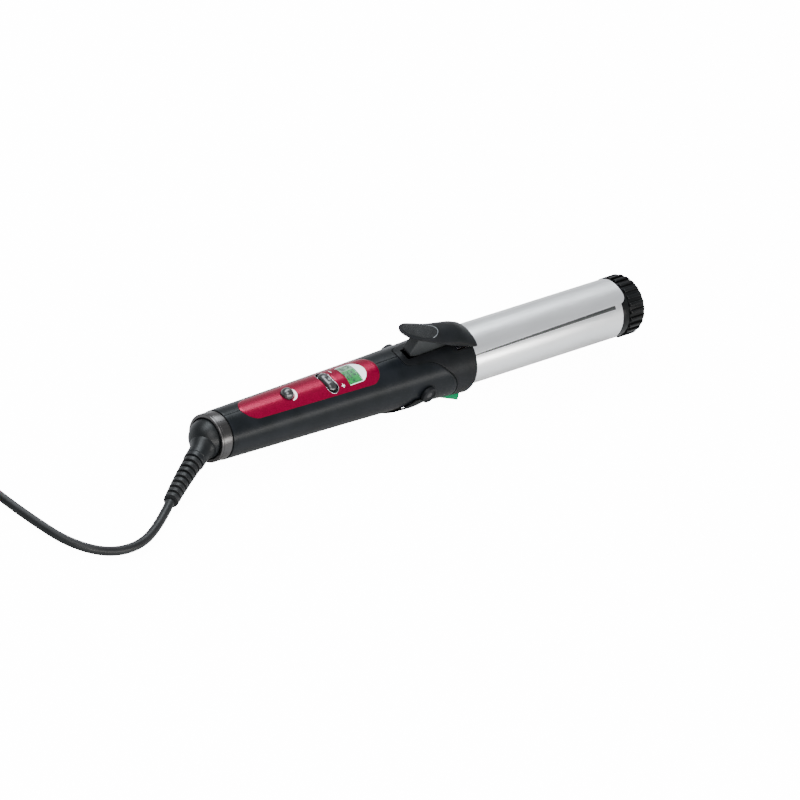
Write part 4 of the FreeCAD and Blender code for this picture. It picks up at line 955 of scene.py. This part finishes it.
def digit_bars(x, y, bars, width=1.15, height=2.1, stroke=0.36):
    """A seven-bar digit with its top towards +y: a list of (x0, x1, y0, y1)."""
    middle = height / 2
    layout = {"top": (0, width, height - stroke, height), "bottom": (0, width, 0, stroke),
              "middle": (0, width, middle - stroke / 2, middle + stroke / 2)}
    for side, x0 in (("left", 0), ("right", width - stroke)):
        layout["upper " + side] = (x0, x0 + stroke, middle, height)
        layout["lower " + side] = (x0, x0 + stroke, 0, middle)
    return [(x + a, x + b, y + c, y + d) for a, b, c, d in (layout[bar] for bar in bars)]


# x from the window's rear edge, y
DISPLAY_BLOCKS = [(7.4, 9.4, 5.4, 5.7), (7.4, 9.0, 4.6, 4.9), (1.2, 2.4, -0.6, 1.6), (1.5, 2.8, -3.4, -1.8),
                  (4.4, 5.3, -3.8, 1.8), (6.9, 8.4, -0.2, 1.6), (7.4, 9.4, -2.4, -1.0), (4.0, 5.8, -6.0, -4.8)]


def display():
    """The lit layer, its greyer upper band, and the dark marks on it."""
    rear, front, half = WINDOW
    lit = patch("display_module_layer", -half + 0.1, half - 0.1, lambda y: (rear + 0.1, front - 0.1),
                -0.9, 1.6)
    settle(lit, "handle", "display_green", DISPLAY_GREEN, "display_module")
    band = patch("display_band", 3.2, half - 0.15, lambda y: (rear + 0.2, front - 0.2),
                 -0.84, 0.06, 8, 12)
    settle(band, "handle", "display_green", DISPLAY_GREY)
    every = ["top", "middle", "bottom", "upper left", "lower left", "upper right", "lower right"]
    one = ["upper right", "lower right"]
    six = [bar for bar in every if bar != "upper right"]
    zero = [bar for bar in every if bar != "middle"]
    blocks = []
    for i, bars in enumerate((one, six, zero)):
        blocks += digit_bars(rear + 1.5 + 1.5 * i, 4.2, bars)
    blocks += [(rear + x0, rear + x1, y0, y1) for x0, x1, y0, y1 in DISPLAY_BLOCKS]
    points, faces = [], []
    for block in blocks:
        more, sides = segment(*block)
        faces += [tuple(k + len(points) for k in face) for face in sides]
        points += more
    settle(piece("display_segments", points, faces), "handle", "display_green", DARK_SEGMENT)


def rocker_trim():
    """Bright rim that follows the skin round the rocker's slot."""
    outer, inner = capsule(ROCKER_X, 4.7, 19.7), capsule(ROCKER_X, 4.3, 18.9)
    rows = [[on_skin(*a, -1.0), on_skin(*a, 0.22), on_skin(*b, 0.22), on_skin(*b, -1.0)]
            for a, b in zip(outer, inner)]
    rim = piece("rocker_trim_rim", *net(rows, round_rows=True, round_points=True))
    soften(rim, 0.14, 40, 3)
    return settle(rim, "handle", "bright_trim", BRIGHT_CHROME, "rocker_trim")


def temperature_rocker():
    """Two lobes with a dip between them."""
    outline = capsule(ROCKER_X, 3.5, 16.5)
    base, rise, dip = skin_radius(ROCKER_X), 2.0, 0.95
    rows = [[(x, y, base - 5.0) for x, y in outline], [(x, y, base - 1.2) for x, y in outline]]
    for share in spread(1, 0, 28):
        row = []
        for x, y in outline:
            px, py = ROCKER_X + (x - ROCKER_X) * share, y * share
            dome = (1 - share ** 3.2) ** 0.5
            fall = base - math.sqrt(base ** 2 - py ** 2)
            saddle = dip * math.exp(-(py / 2.4) ** 2)
            row.append((px, py, base - 1.2 - fall * 0.7 + (rise + 1.2 - saddle) * dome))
        rows.append(row)
    bar = piece("temperature_rocker_bar", *net(rows, round_points=True, caps=True))
    return settle(bar, "temperature_rocker", "gunmetal", GUNMETAL, "temperature_rocker", smooth=80)


def power_button():
    base = skin_radius(BUTTON_X)
    ball = [(base + 4.4 * math.sin(a), 4.4 * math.cos(a)) for a in spread(0, math.pi / 2 - 0.02, 20)]
    profile = [(base - 5.5, 1.4), (base - 3.2, 1.4), (base - 3.2, 4.9), (base - 2.7, 4.9),
               (base - 2.7, 4.4)] + ball
    button = rod("power_button_ball", (BUTTON_X, 0, 0), (0, 0, 1), profile, 72)
    return settle(button, "power_button", "gunmetal", GUNMETAL, "power_button")


def printed(name, rows):
    """A printed mark on the panel: rows of (x, y), as a film that lies on the lacquer."""
    sheet = sheet_facing_up(name, [[on_skin(x, y, PROUD + 0.06) for x, y in row] for row in rows])
    thicken(sheet, 0.05)
    return settle(sheet, "handle", "white_surround", WHITE_INK)


def printed_marks():
    """The crescent in front of the button, and plus and minus ahead of the rocker."""
    crescent = []
    for degrees in spread(-78, 78, 40):
        angle = math.radians(degrees)
        width = 1.9 * math.cos(angle * 0.98)
        crescent.append([(BUTTON_X + r * math.cos(angle), -r * math.sin(angle))
                         for r in (5.3, 5.3 + width + 0.1)])
    printed("button_crescent", crescent)
    mark_x, reach, half = ROCKER_X + 8.2, 1.3, 0.22
    for name, y in (("minus_mark", 7.0), ("plus_mark_bar", -7.0)):
        printed(name, [[(mark_x - half, y + out), (mark_x + half, y + out)]
                       for out in spread(-reach, reach, 4)])
    for k, (a, b) in enumerate(((mark_x - reach, mark_x - half), (mark_x + half, mark_x + reach))):
        printed("plus_mark_arm_%d" % k, [[(a, y), (b, y)] for y in spread(-7.0 - half, -7.0 + half, 2)])


# ---------------------------------------------------------------- barrel and cool tip
def barrel():
    tube = lathe("barrel_tube", [(-4, 17.8, 0), (BARREL_LENGTH, 17.8, 0.3), (BARREL_LENGTH, BARREL_R, 0.45),
                                 (-4, BARREL_R, 0.2)], 160)
    return settle(tube, "handle", "satin_silver", SATIN_SILVER, "barrel")


TIP_END = BARREL_LENGTH + 21.0
GRIP_START = BARREL_LENGTH + 6.3


def tip_cap():
    """Flange, groove and ribbed grip of the cool tip."""
    end = TIP_END
    core = lathe("tip_cap_body", [(BARREL_LENGTH, 8.0, 0), (BARREL_LENGTH, BARREL_R, 0.3),
                                  (BARREL_LENGTH + 5.5, BARREL_R, 0.5), (BARREL_LENGTH + 5.5, 17.9, 0),
                                  (GRIP_START, 17.9, 0), (GRIP_START, 18.5, 0.5), (end - 1.1, 18.5, 4.4),
                                  (end - 1.1, 14.5, 0), (end - 0.6, 13.5, 0), (end, 12.6, 0.6), (end, 10.1, 0.3),
                                  (end - 2.0, 10.1, 0), (end - 2.0, 8.0, 0)], 144, 6)
    settle(core, "handle", "tip_black", TIP_BLACK, "tip_cap")
    line = [(GRIP_START + 0.1, 18.4), (GRIP_START + 0.1, 19.6), (GRIP_START + 0.5, 20.0)]
    line += [(end - 5.4 + 4.8 * math.sin(a), 15.2 + 4.8 * math.cos(a))
             for a in spread(0, math.pi / 2 * 0.86, 8)]
    rows = []
    for x, radius in line:
        low = radius - 1.9
        rows.append([(x, y, low if deep else radius - drop) for y, drop, deep in (
            (-1.25, 0, True), (-1.25, 0.5, False), (-0.95, 0.15, False), (-0.45, 0, False),
            (0.45, 0, False), (0.95, 0.15, False), (1.25, 0.5, False), (1.25, 0, True))])
    rib = piece("tip_cap_ribs", *net(rows, round_points=True, caps=True), METRES)
    grow(rib, RIBS, Count=24, Material=TIP_BLACK)
    rib.data.transform(IRON)
    tidy(rib)
    settle(rib, "handle", "tip_black", TIP_BLACK)
    disc = lathe("tip_insert_disc", [(end - 2.0, 0, 0), (end - 0.3, 0, 0), (end - 0.15, 4.0, 0), (end, 7.0, 1.0),
                                     (end, 9.95, 0.6), (end - 2.0, 9.95, 0)], 96)
    settle(disc, "handle", "tip_black", GLOSS_BLACK, "tip_insert")


# ---------------------------------------------------------------- clamp
# lever sections: x, half width, edge and crown above the barrel, and crown of the hollow
LEVER = [(1.4, 12.2, 1.5, 5.6, 1.5), (-2.0, 12.15, 2.2, 7.9, 2.2), (-8.0, 11.7, 4.2, 11.2, 4.2),
         (-11.0, 11.5, 5.0, 12.5, 5.1), (-13.0, 11.3, 5.5, 13.2, 10.4), (-20.0, 10.8, 7.5, 14.8, 12.4),
         (-32.0, 10.0, 12.0, 16.0, 13.8), (-44.0, 9.2, 17.2, 18.6, 16.4), (-54.0, 8.6, 20.8, 22.0, 20.0),
         (-64.0, 8.0, 23.6, 24.3, 22.6)]
LEVER_TIP = (-52.0, 12.0)      # where the end starts to round off, and how long it is


def lever_value(x, column):
    return table_value([(row[0], row[column]) for row in LEVER], x)


def lever_half(x):
    start, length = LEVER_TIP
    half = lever_value(x, 1)
    if x < start:
        half *= math.sqrt(max(1 - ((start - x) / length) ** 2, 0))
    return max(half, 0.05)


def lever_arc(x, y, edge, crown):
    """Height over the barrel's axis of a full-shouldered arc across the lever."""
    across = min(abs(y) / lever_half(x), 1)
    flat, full = 1 - across ** 2, math.sqrt(1 - across ** 2)
    return BARREL_R + edge + (crown - edge) * (0.45 * flat + 0.55 * full)


def lever_top(x, y):
    half = lever_half(x)
    full = lever_value(x, 1)
    edge, crown = lever_value(x, 2), lever_value(x, 3)
    edge = crown - (crown - edge) * max(half / full, 0.25)
    return lever_arc(x, y, edge, crown)


def lever_section(x):
    """A closed section of the lever: rounded over the top, hollow below."""
    half = lever_half(x)
    edge = lever_value(x, 2)
    roof = lever_value(x, 4)
    wall = min(2.2, half * 0.45)
    over = [(x, y, lever_top(x, y)) for y in eased(-half, half, 30)]
    rim = max(over[0][2] - BARREL_R - 1.1, min(edge, roof) - 0.9)
    inner = []
    for y in eased(half - wall, -(half - wall), 20):
        lift = max(1 - (y / max(half - wall, 0.01)) ** 2, 0) ** 0.5
        inner.append((x, y, BARREL_R + rim + max(roof - rim, 0.0) * lift))
    lip = 0.35 * min(1, half / 4)
    sides = [(x, half, over[-1][2] - 0.3), (x, half - lip, BARREL_R + rim + 0.05)]
    other = [(x, -y, z) for _, y, z in reversed(sides)]
    return over + sides + inner + other


def clamp_lever():
    """The hood over the hinge with its thumb rest, web and hinge eye."""
    stations = spread(1.4, -52, 70) + [-52 - 11.9 * math.sin(a) for a in spread(0.06, math.pi / 2, 18)]
    hood = piece("clamp_lever_hood", *net([lever_section(x) for x in stations],
                                          round_points=True, caps=True))
    b = BARREL_R
    outline = rounded([(-46.5, b + 17.2, 0.8), (-32.0, b + 14.2, 0), (-20.0, b + 13.0, 0), (-11.5, b + 9.5, 0),
                       (-11.5, b + 1.2, 0), (-13.8, b - 3.2, 1.5), (-20.0, b - 6.6, 3.0), (-26.0, b - 5.4, 2.0),
                       (-50.0, b + 1.3, 0.6), (-51.2, b + 3.7, 1.0)], 6)
    web = soften(prism("clamp_lever_web", outline, -WEB_HALF, WEB_HALF, "y"), 0.5, 45, 3)
    combine(web, drill("hinge hole", (HINGE[0], -6, HINGE[1]), (0, 1, 0), HINGE_HOLE_R, 12, 32))
    # the web's lighter grey is painted sheen on its side face
    settle(web, "clamp", "collar_black", WEB_PAINTED_SHEEN)
    settle(hood, "clamp", "collar_black", COLLAR_BLACK, "clamp_lever", smooth=40)
    tongue = []
    for x in (-11.5, 0.6):
        tongue.append([(x, y, z) for y, z in ((-8.2, 19.0), (-8.2, 23.0), (8.2, 23.0), (8.2, 19.0))])
    block = piece("clamp_lever_tongue", *net(tongue, round_points=True, caps=True))
    combine(block, lathe("plate room", [(-14, 0, 0), (4, 0, 0), (4, 20.2, 0), (-14, 20.2, 0)], 96))
    return settle(block, "clamp", "collar_black", COLLAR_BLACK)


PAD = (-30.0, -61.4, 7.2)


def pad_row(share, steps):
    """Points across the thumb pad at a share of its length from the front."""
    front, rear, half = PAD
    middle, reach = (front + rear) / 2, (front - rear) / 2
    y_reach = half * math.sqrt(max(1 - share ** 2, 0))
    return [(middle - reach * share, y) for y in spread(-y_reach, y_reach, steps)]


def thumb_pad():
    """A thin rubber inlay on the lever with rows of studs and a lip in front of it, painted grey as a highlight.
    """
    rows = [pad_row(share, 20) for share in [math.sin(a) for a in spread(-1.53, 1.53, 44)]]
    skin = sheet_facing_up("thumb_pad_inlay", [[(x, y, lever_top(x, y) + 0.14) for x, y in row]
                                               for row in rows])
    thicken(skin, 0.5)
    soften(skin, 0.12, 45, 2)
    settle(skin, "clamp", "pad_black", PAD_BLACK, "thumb_pad")

    front, rear, half = PAD
    points, facing = [], []
    step = 1.42
    for i in range(int((front - rear) / (step * 0.87))):
        x = front - 1.6 - i * step * 0.87
        for j in range(-6, 7):
            y = (j + 0.5 * (i % 2)) * step
            place = ((x - (front + rear) / 2) / ((front - rear) / 2 - 0.9)) ** 2 + (y / (half - 0.8)) ** 2
            if place < 1:
                z = lever_top(x, y) + 0.14
                slope = Vector((lever_top(x - 0.1, y) - lever_top(x + 0.1, y),
                                lever_top(x, y - 0.1) - lever_top(x, y + 0.1), 0.2))
                points.append((x, y, z))
                facing.append(TURN.to_3x3() @ slope.normalized())
    dots = raw_mesh("thumb_pad_studs", points)
    towards = dots.attributes.new("facing", "FLOAT_VECTOR", "POINT")
    for item, way in zip(towards.data, facing):
        item.vector = way
    studs = show("thumb_pad_studs", dots)
    grow(studs, STUDS, Radius=0.46 * MM, Height=0.26 * MM, Material=PAD_BLACK)
    settle(studs, "clamp", "pad_black", PAD_BLACK, smooth=60)

    lip = []
    for angle in spread(-1.12, 1.12, 48):
        section = []
        for out, lift in ((0.0, -0.2), (0.02, 0.22), (0.16, 0.34), (0.32, 0.34), (0.46, 0.22), (0.48, -0.2)):
            x = (front + rear) / 2 + ((front - rear) / 2 + 0.15 + out) * math.cos(angle)
            y = (half + 0.15 + out) * math.sin(angle)
            section.append((x, y, lever_top(x, y) + lift))
        lip.append(section)
    rim = piece("thumb_pad_lip", *net(lip, round_points=True, caps=True))
    # the lip's grey is a painted highlight on the pad's front edge
    settle(rim, "clamp", "pad_black", LIP_PAINTED_HIGHLIGHT, smooth=60)


PLATE_INNER_R = 19.3
PLATE_T = 0.9
PLATE_ENDS = (0.8, BARREL_LENGTH + 3.5)
PLATE_HALVES = (14.0, 12.0)
# where the strips of painted shade along the plate's edges end
PLATE_SHADED_LIP_END = BARREL_LENGTH - 6.0


def plate_half(x):
    start, end = PLATE_ENDS
    rear_half, tip_half = PLATE_HALVES
    half = rear_half + (tip_half - rear_half) * (x - start) / (end - start)
    corner = 5.0
    into = max(x - (end - corner), 0)
    return half - corner + math.sqrt(max(corner ** 2 - into ** 2, 0))


def clamp_plate():
    """The curved leaf that lies on the barrel, with its tongue under the lever."""
    start, end = PLATE_ENDS
    outer_r = PLATE_INNER_R + PLATE_T
    stations = [(x, 8.2) for x in (-11.5, -6, 0.2, 0.75)]
    stations += [(x, plate_half(x)) for x in spread(start, end - 5, 60)]
    tip = [end - 5 + 5 * math.sin(a) for a in spread(0.12, math.pi / 2, 12)]
    stations += [(x, plate_half(x)) for x in tip]
    rows = []
    for x, half in stations:
        reach = math.degrees(math.asin(half / outer_r))
        rows.append([on_axis(x, outer_r, degrees) for degrees in spread(-reach, reach, 48)])
    leaf = sheet_facing_up("clamp_plate_leaf", rows)
    thicken(leaf, PLATE_T)
    soften(leaf, 0.22, 50, 3)
    settle(leaf, "clamp", "satin_silver", SATIN_SILVER, "clamp_plate")
    # dark strips along both edges of the plate, widening towards the tip: painted shade of the plate's edge and
    # the gap beside the barrel
    for side in (-1, 1):
        rows = []
        for x in spread(start + 1.0, PLATE_SHADED_LIP_END, 40):
            inner = math.degrees(math.asin((plate_half(x) - 0.5) / outer_r))
            width = 0.9 + 1.6 * (x - start) / (PLATE_SHADED_LIP_END - start)
            outer = math.degrees(math.asin(plate_half(x) / outer_r) + width / BARREL_R)
            rows.append([on_axis(x, radius, side * degrees) for radius, degrees in (
                (PLATE_INNER_R - 0.18, inner), (PLATE_INNER_R + 0.1, inner),
                (PLATE_INNER_R + 0.1, outer), (PLATE_INNER_R - 0.18, outer))])
        lip = piece("clamp_plate_shaded_lip_" + ("a" if side < 0 else "b"), *net(rows, round_points=True, caps=True))
        soften(lip, 0.1, 40, 2)
        settle(lip, "clamp", "satin_silver", PAINTED_SHADE_STEEL)


# ---------------------------------------------------------------- stand
def stand():
    """A strap folded round the underside, between two pivot bosses with dished faces."""
    slant = math.radians(44.0)
    half, thick = 4.2, 1.1
    rows = []
    for degrees in spread(8, 172, 80):
        row = []
        gap = 0.15 + 0.5 * math.cos(math.radians(degrees)) ** 2
        for w, out in ((-half, gap), (-half, gap + thick), (half, gap + thick), (half, gap)):
            x = STAND_X - 10.0
            for _ in range(6):
                radius = skin_radius(x) + out
                z = -radius * math.sin(math.radians(degrees))
                d = (-z - w * math.cos(slant)) / math.sin(slant)
                x = STAND_X - d * math.cos(slant) + w * math.sin(slant)
            row.append((x, radius * math.cos(math.radians(degrees)), z))
        rows.append(row)
    strap = piece("stand_strap", *net(rows, round_points=True, caps=True))
    soften(strap, 0.5, 40, 3)
    inside, outside = skin_radius(-35.2) + 0.3, skin_radius(STAND_X) + 3.0
    for side in (-1, 1):
        boss = rod("boss", (STAND_X, side * inside, 0), (0, side, 0),
                   [(0, 5.6), (0.1, 5.8), (outside - inside - 0.5, 5.8), (outside - inside - 0.15, 5.6),
                    (outside - inside, 5.2), (outside - inside, 4.3), (outside - inside - 0.5, 3.9),
                    (outside - inside - 0.6, PIN_ROOM_R)], 72)
        join(strap, [boss])
        combine(strap, drill("pin room", (STAND_X, side * (inside - 1), 0), (0, side, 0),
                             PIN_ROOM_R, 6, 40))
    return settle(strap, "stand", "collar_black", COLLAR_BLACK, "stand")


# ---------------------------------------------------------------- rear ring, swivel and strain relief
def rear_ring():
    rear = -HANDLE_LENGTH - 9.6
    ring = lathe("rear_ring_band", [(-HANDLE_LENGTH - 0.05, 13.75, 0), (rear, 13.75, 0.3), (rear, 16.0, 0.7),
                                    (rear + 1.5, 16.0, 0.15), (rear + 1.6, 15.75, 0.1), (rear + 1.9, 15.75, 0.1),
                                    (rear + 2.0, 16.0, 0.15), (-HANDLE_LENGTH - 0.9, 16.0, 0.3),
                                    (-HANDLE_LENGTH - 0.5, 15.7, 0.1), (-HANDLE_LENGTH - 0.05, 15.7, 0)], 144, 4)
    return settle(ring, "handle", "smoky_chrome", SMOKY_CHROME, "rear_ring")


BALL = (-HANDLE_LENGTH - BALL_BACK, 0, 0)
NECK_WAY = Vector((-0.868, -0.475, -0.126))
RELIEF_WAY = Vector((-0.834, -0.551, 0.02))
NECK_REACH = 26.4
RELIEF_LENGTH = 44.0
RELIEF_CORE = (4.75, 1.1)      # first radius of the core, and how much it shrinks
RELIEF_RINGS = 8


def swivel_dome():
    ball_r, face = 13.4, BALL_BACK - 0.6
    profile = [(-face - 14, 5.0), (-face, 5.0), (-face, 12.0)]
    profile += [(ball_r * math.sin(a), ball_r * math.cos(a))
                for a in spread(-math.asin(face / ball_r), math.pi / 2 - 0.03, 40)]
    dome = rod("swivel_dome_ball", BALL, (-1, 0, 0), profile, 128)
    neck = rod("neck", BALL, NECK_WAY, [(5, 9.0), (11.0, 8.7), (12.2, 8.3), (13.6, 7.75), (15.5, 7.3), (18, 7.05),
                                        (21, 7.0), (22.2, 7.0), (22.5, 6.7), (22.8, 6.7), (23.1, 7.0), (26.0, 7.0),
                                        (26.3, 6.8), (26.4, 6.4)], 96)
    join(dome, [neck])
    return settle(dome, "cord_swivel", "gloss_black", GLOSS_BLACK, "swivel_dome", smooth=28)


def relief_line(steps):
    """The strain relief's gently bending middle line, with its direction and share of the length."""
    point = Vector(BALL) + NECK_WAY * NECK_REACH
    line = []
    for share in spread(0, 1, steps):
        way = (NECK_WAY * (1 - share) + RELIEF_WAY * share).normalized()
        line.append((point.copy(), way, share))
        point += way * (RELIEF_LENGTH / steps)
    return line


def strain_relief():
    """A tapered core with a row of rings that shrink towards the cord."""
    first_r, drop = RELIEF_CORE
    core = [ring_round(point, way, first_r - drop * share, 40) for point, way, share in relief_line(24)]
    middle = piece("strain_relief_core", *net(core, round_points=True, caps=True))
    settle(middle, "cord_swivel", "cord_black", CORD_BLACK, "strain_relief")
    line = relief_line(RELIEF_RINGS * 4)[2:-2]
    rings = show("strain_relief_rings", raw_mesh("strain_relief_rings", [point for point, _, _ in line],
                                                 edges=[(i, i + 1) for i in range(len(line) - 1)]))
    grow(rings, RINGS, Count=RELIEF_RINGS, First_Radius=6.4 * MM, Last_Radius=5.0 * MM, Ring_Length=3.5 * MM,
         Material=CORD_BLACK)
    tidy(rings)
    soften(rings, 0.45, 40, 3)
    settle(rings, "cord_swivel", "cord_black", CORD_BLACK)


# ---------------------------------------------------------------- cord
CORD_R = 3.1 * MM
# x and y from the swivel's centre, z above the surface
CORD_ROUTE = [(-60.8, -35.4, 7.3), (-84.0, -51.0, 5.0), (-109.0, -60.0, 3.4), (-134.0, -57.0, 3.2),
              (-152.5, -40.0, 3.2), (-161.0, -15.0, 3.2), (-167.0, 8.0, 3.2), (-170.5, 29.0, 3.3)]
COIL_CENTRE = (-209.0, 48.0)
COIL_R = 35.9
COIL_LOW = 3.75        # middle of the lowest turns above the surface
LAY = 6.3              # from one turn to the next
COIL_POINTS = 20       # for each turn
# where each pass of the cord lies in the bundle: outwards and upwards, in lays
PASSES = [(0.5, 0.0), (-0.5, 0.0), (-1.0, 0.87), (-0.5, 1.73), (0.5, 1.73), (0.0, 0.87), (1.0, 0.87)]
TAIL_X = COIL_CENTRE[0] - COIL_R - LAY * 0.2
PLUG_X = COIL_CENTRE[0] - 35.5
PLUG_LOW = -10.0       # y of the plug body's rear face from the swivel
PLUG_LENGTH = 32.0
PLUG_MIDDLE = 6.85     # height of the plug's middle above the surface


def cord_place(x, y, z):
    return Vector((SWIVEL.x + x * MM, SWIVEL.y + y * MM, z * MM))


def coil_points():
    """Six and a half turns; each turn moves to the next place in the bundle behind the tie."""
    points = []
    total = COIL_POINTS * (len(PASSES) - 1) + COIL_POINTS // 2
    for i in range(1, total + 1):
        turn, step = divmod(i, COIL_POINTS)
        share = min(max((step / COIL_POINTS - 0.52) / 0.14, 0), 1)
        a, b = PASSES[turn], PASSES[min(turn + 1, len(PASSES) - 1)]
        out = a[0] + (b[0] - a[0]) * share
        up = a[1] + (b[1] - a[1]) * share
        radius = COIL_R + out * LAY
        angle = 2 * math.pi * i / COIL_POINTS
        points.append(cord_place(COIL_CENTRE[0] + radius * math.cos(angle),
                                 COIL_CENTRE[1] + radius * math.sin(angle), COIL_LOW + up * LAY))
    return points


def tail_points():
    """From the coil down to the plug's grip."""
    x = TAIL_X
    return [cord_place(x - 3.2, 39.0, 7.8), cord_place(x - 2.0, 29.5, 5.0), cord_place(x - 0.6, 20.5, 3.9),
            cord_place(PLUG_X, 11.5, 3.9)]


def cord_line():
    """The cord's middle line: a smooth spline through its given route, coil and tail."""
    controls = [cord_place(*point) for point in CORD_ROUTE] + coil_points() + tail_points()
    curve = bpy.data.curves.new("cord line", "CURVE")
    curve.dimensions = "3D"
    curve.resolution_u = 6
    spline = curve.splines.new("NURBS")
    spline.points.add(len(controls) - 1)
    for point, control in zip(spline.points, controls):
        point.co = (*control, 1)
    spline.order_u = 3
    spline.use_endpoint_u = True
    holder = show("cord line", curve)
    bpy.context.view_layer.update()
    graph = bpy.context.evaluated_depsgraph_get()
    mesh = bpy.data.meshes.new_from_object(holder.evaluated_get(graph))
    path = [vertex.co.copy() for vertex in mesh.vertices]
    bpy.data.objects.remove(holder)
    return path


def tube_along(name, path, radius, sides=20):
    """A round tube that follows a line without twisting."""
    rows = []
    way = (path[1] - path[0]).normalized()
    side = way.orthogonal().normalized()
    for i, point in enumerate(path):
        ahead, behind = path[min(i + 1, len(path) - 1)], path[max(i - 1, 0)]
        way = (ahead - behind).normalized()
        side = (side - way * side.dot(way)).normalized()
        rows.append(ring_round(point, way, radius, sides, side))
    return piece(name, *net(rows, round_points=True, caps=True), METRES)


def coil_tie():
    """A flat band round the bundle."""
    middle = cord_place(COIL_CENTRE[0], COIL_CENTRE[1] + 35.5, 10.2)
    rows = []
    for along, out in ((-4.5, 9.75), (-4.5, 10.1), (4.5, 10.1), (4.5, 9.75)):
        rows.append([middle + Vector((along, out * math.cos(a), out * math.sin(a))) * MM
                     for a in (2 * math.pi * i / 72 for i in range(72))])
    band = piece("coil_tie_band", *net(rows, round_rows=True, round_points=True), METRES)
    soften(band, 0.12, 40, 2)
    return settle(band, "handle", "cord_black", CORD_BLACK, "coil_tie")


def plug():
    """Flat two-pin plug: ribbed grip, waisted body and two pins."""
    start, front = cord_place(PLUG_X, 12.2, 3.9), cord_place(PLUG_X, PLUG_LOW - 0.5, PLUG_MIDDLE)
    way = front - start
    profile = [(0, 3.2), (0.2, 3.6)]
    for k in range(6):
        at, size = 1.2 + k * 3.3, 3.8 + k * 0.38
        profile += [(at, size - 0.5), (at + 0.25, size), (at + 2.0, size + 0.1), (at + 2.25, size - 0.45)]
    profile += [(way.length / MM, 5.9)]
    grip = rod("plug_grip_sleeve", start, way, [(a * MM, r * MM) for a, r in profile], 48, METRES)
    settle(grip, "handle", "cord_black", CORD_BLACK, "plug_grip", smooth=28)
    rows = []
    for share in spread(0, 1, 24):
        y = PLUG_LOW - PLUG_LENGTH * share
        end = min(share, 1 - share) * PLUG_LENGTH
        turn = 1 - 0.11 * (1 - min(end / 2.5, 1)) ** 2
        half = (17.6 - 2.6 * math.sin(math.pi * min(share / 0.8, 1)) ** 2) * turn
        tall = 6.8 * turn
        low, high = PLUG_MIDDLE - tall, PLUG_MIDDLE + tall
        outline = rounded([(-half, low, 3.4), (half, low, 3.4), (half, high, 3.4), (-half, high, 3.4)], 6)
        rows.append([cord_place(PLUG_X + a, y, b) for a, b in outline])
    body = piece("plug_body_shell", *net(rows, round_points=True, caps=True), METRES)
    settle(body, "handle", "cord_black", CORD_BLACK, "plug_body", smooth=40)
    ends = [grip, body]
    for letter, side in (("a", -1), ("b", 1)):
        foot = cord_place(PLUG_X + side * 9.3, PLUG_LOW - PLUG_LENGTH, PLUG_MIDDLE)
        pin = rod("plug_pin_" + letter, foot, (0, -1, 0), [(a * MM, r * MM) for a, r in (
            (-1, 2.0), (17.4, 2.0), (18.4, 1.6), (18.9, 0.9), (19.0, 0.3))], 40, METRES)
        settle(pin, "handle", "nickel", NICKEL, *(["plug_pins"] if side < 0 else []))
        sleeve = rod("plug_pin_sleeve_" + letter, foot, (0, -1, 0),
                     [(a * MM, r * MM) for a, r in ((-0.5, 2.12), (9.6, 2.12), (9.9, 2.0))], 40, METRES)
        settle(sleeve, "handle", "cord_black", SWITCH_BLACK)
        ends += [sleeve, pin]
    return ends


def cord():
    path = cord_line()
    tube = tube_along("power_cord_run", path, CORD_R)
    settle(tube, None, "cord_black", CORD_BLACK, "power_cord", "cord_coil", "cord_tail")
    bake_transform(tube)
    ends = plug() + [coil_tie()]


# ---------------------------------------------------------------- pieces kept from the model
FINISHES = [
    (HOUSING_GREY, ("swivel_socket", "display_holder", "rocker_carrier", "terminal_block")),
    (BOARD_GREEN, ("circuit_board",)),
    (SWITCH_BLACK, ("button_switches", "ion_generator", "stand_pins")),
    (BRASS, ("contact_blades", "slip_rings")),
    (STEEL, ("ion_needle", "tip_screw", "handle_screws", "hinge_pin", "lever_spring",
             "clamp_rivets", "swivel_clip")),
    (PHENOLIC, ("barrel_carrier",)),
    (ALUMINIUM, ("barrel_end_plug", "heater_spreader_upper", "heater_spreader_lower")),
    (CERAMIC, ("ptc_heater", "temperature_sensor", "thermal_fuse")),
    (WIRE_RED, ("lead_wires",))]


def dress(node, material):
    """Gives a kept node its own finish in every material slot."""
    obj = NODES[node]
    if not obj.material_slots:
        obj.data.materials.append(material)
    for place in obj.material_slots:
        place.material = material


cord()
for side in (-1, 1):
    handle_shell(side)
for make in (collar, ion_nozzle, control_panel, display_surround, display_window, display, rocker_trim,
             temperature_rocker, power_button, printed_marks, barrel, tip_cap, clamp_lever, thumb_pad,
             clamp_plate, stand, rear_ring, swivel_dome, strain_relief):
    make()
for material, nodes in FINISHES:
    for node in nodes:
        dress(node, material)

bpy.context.view_layer.update()
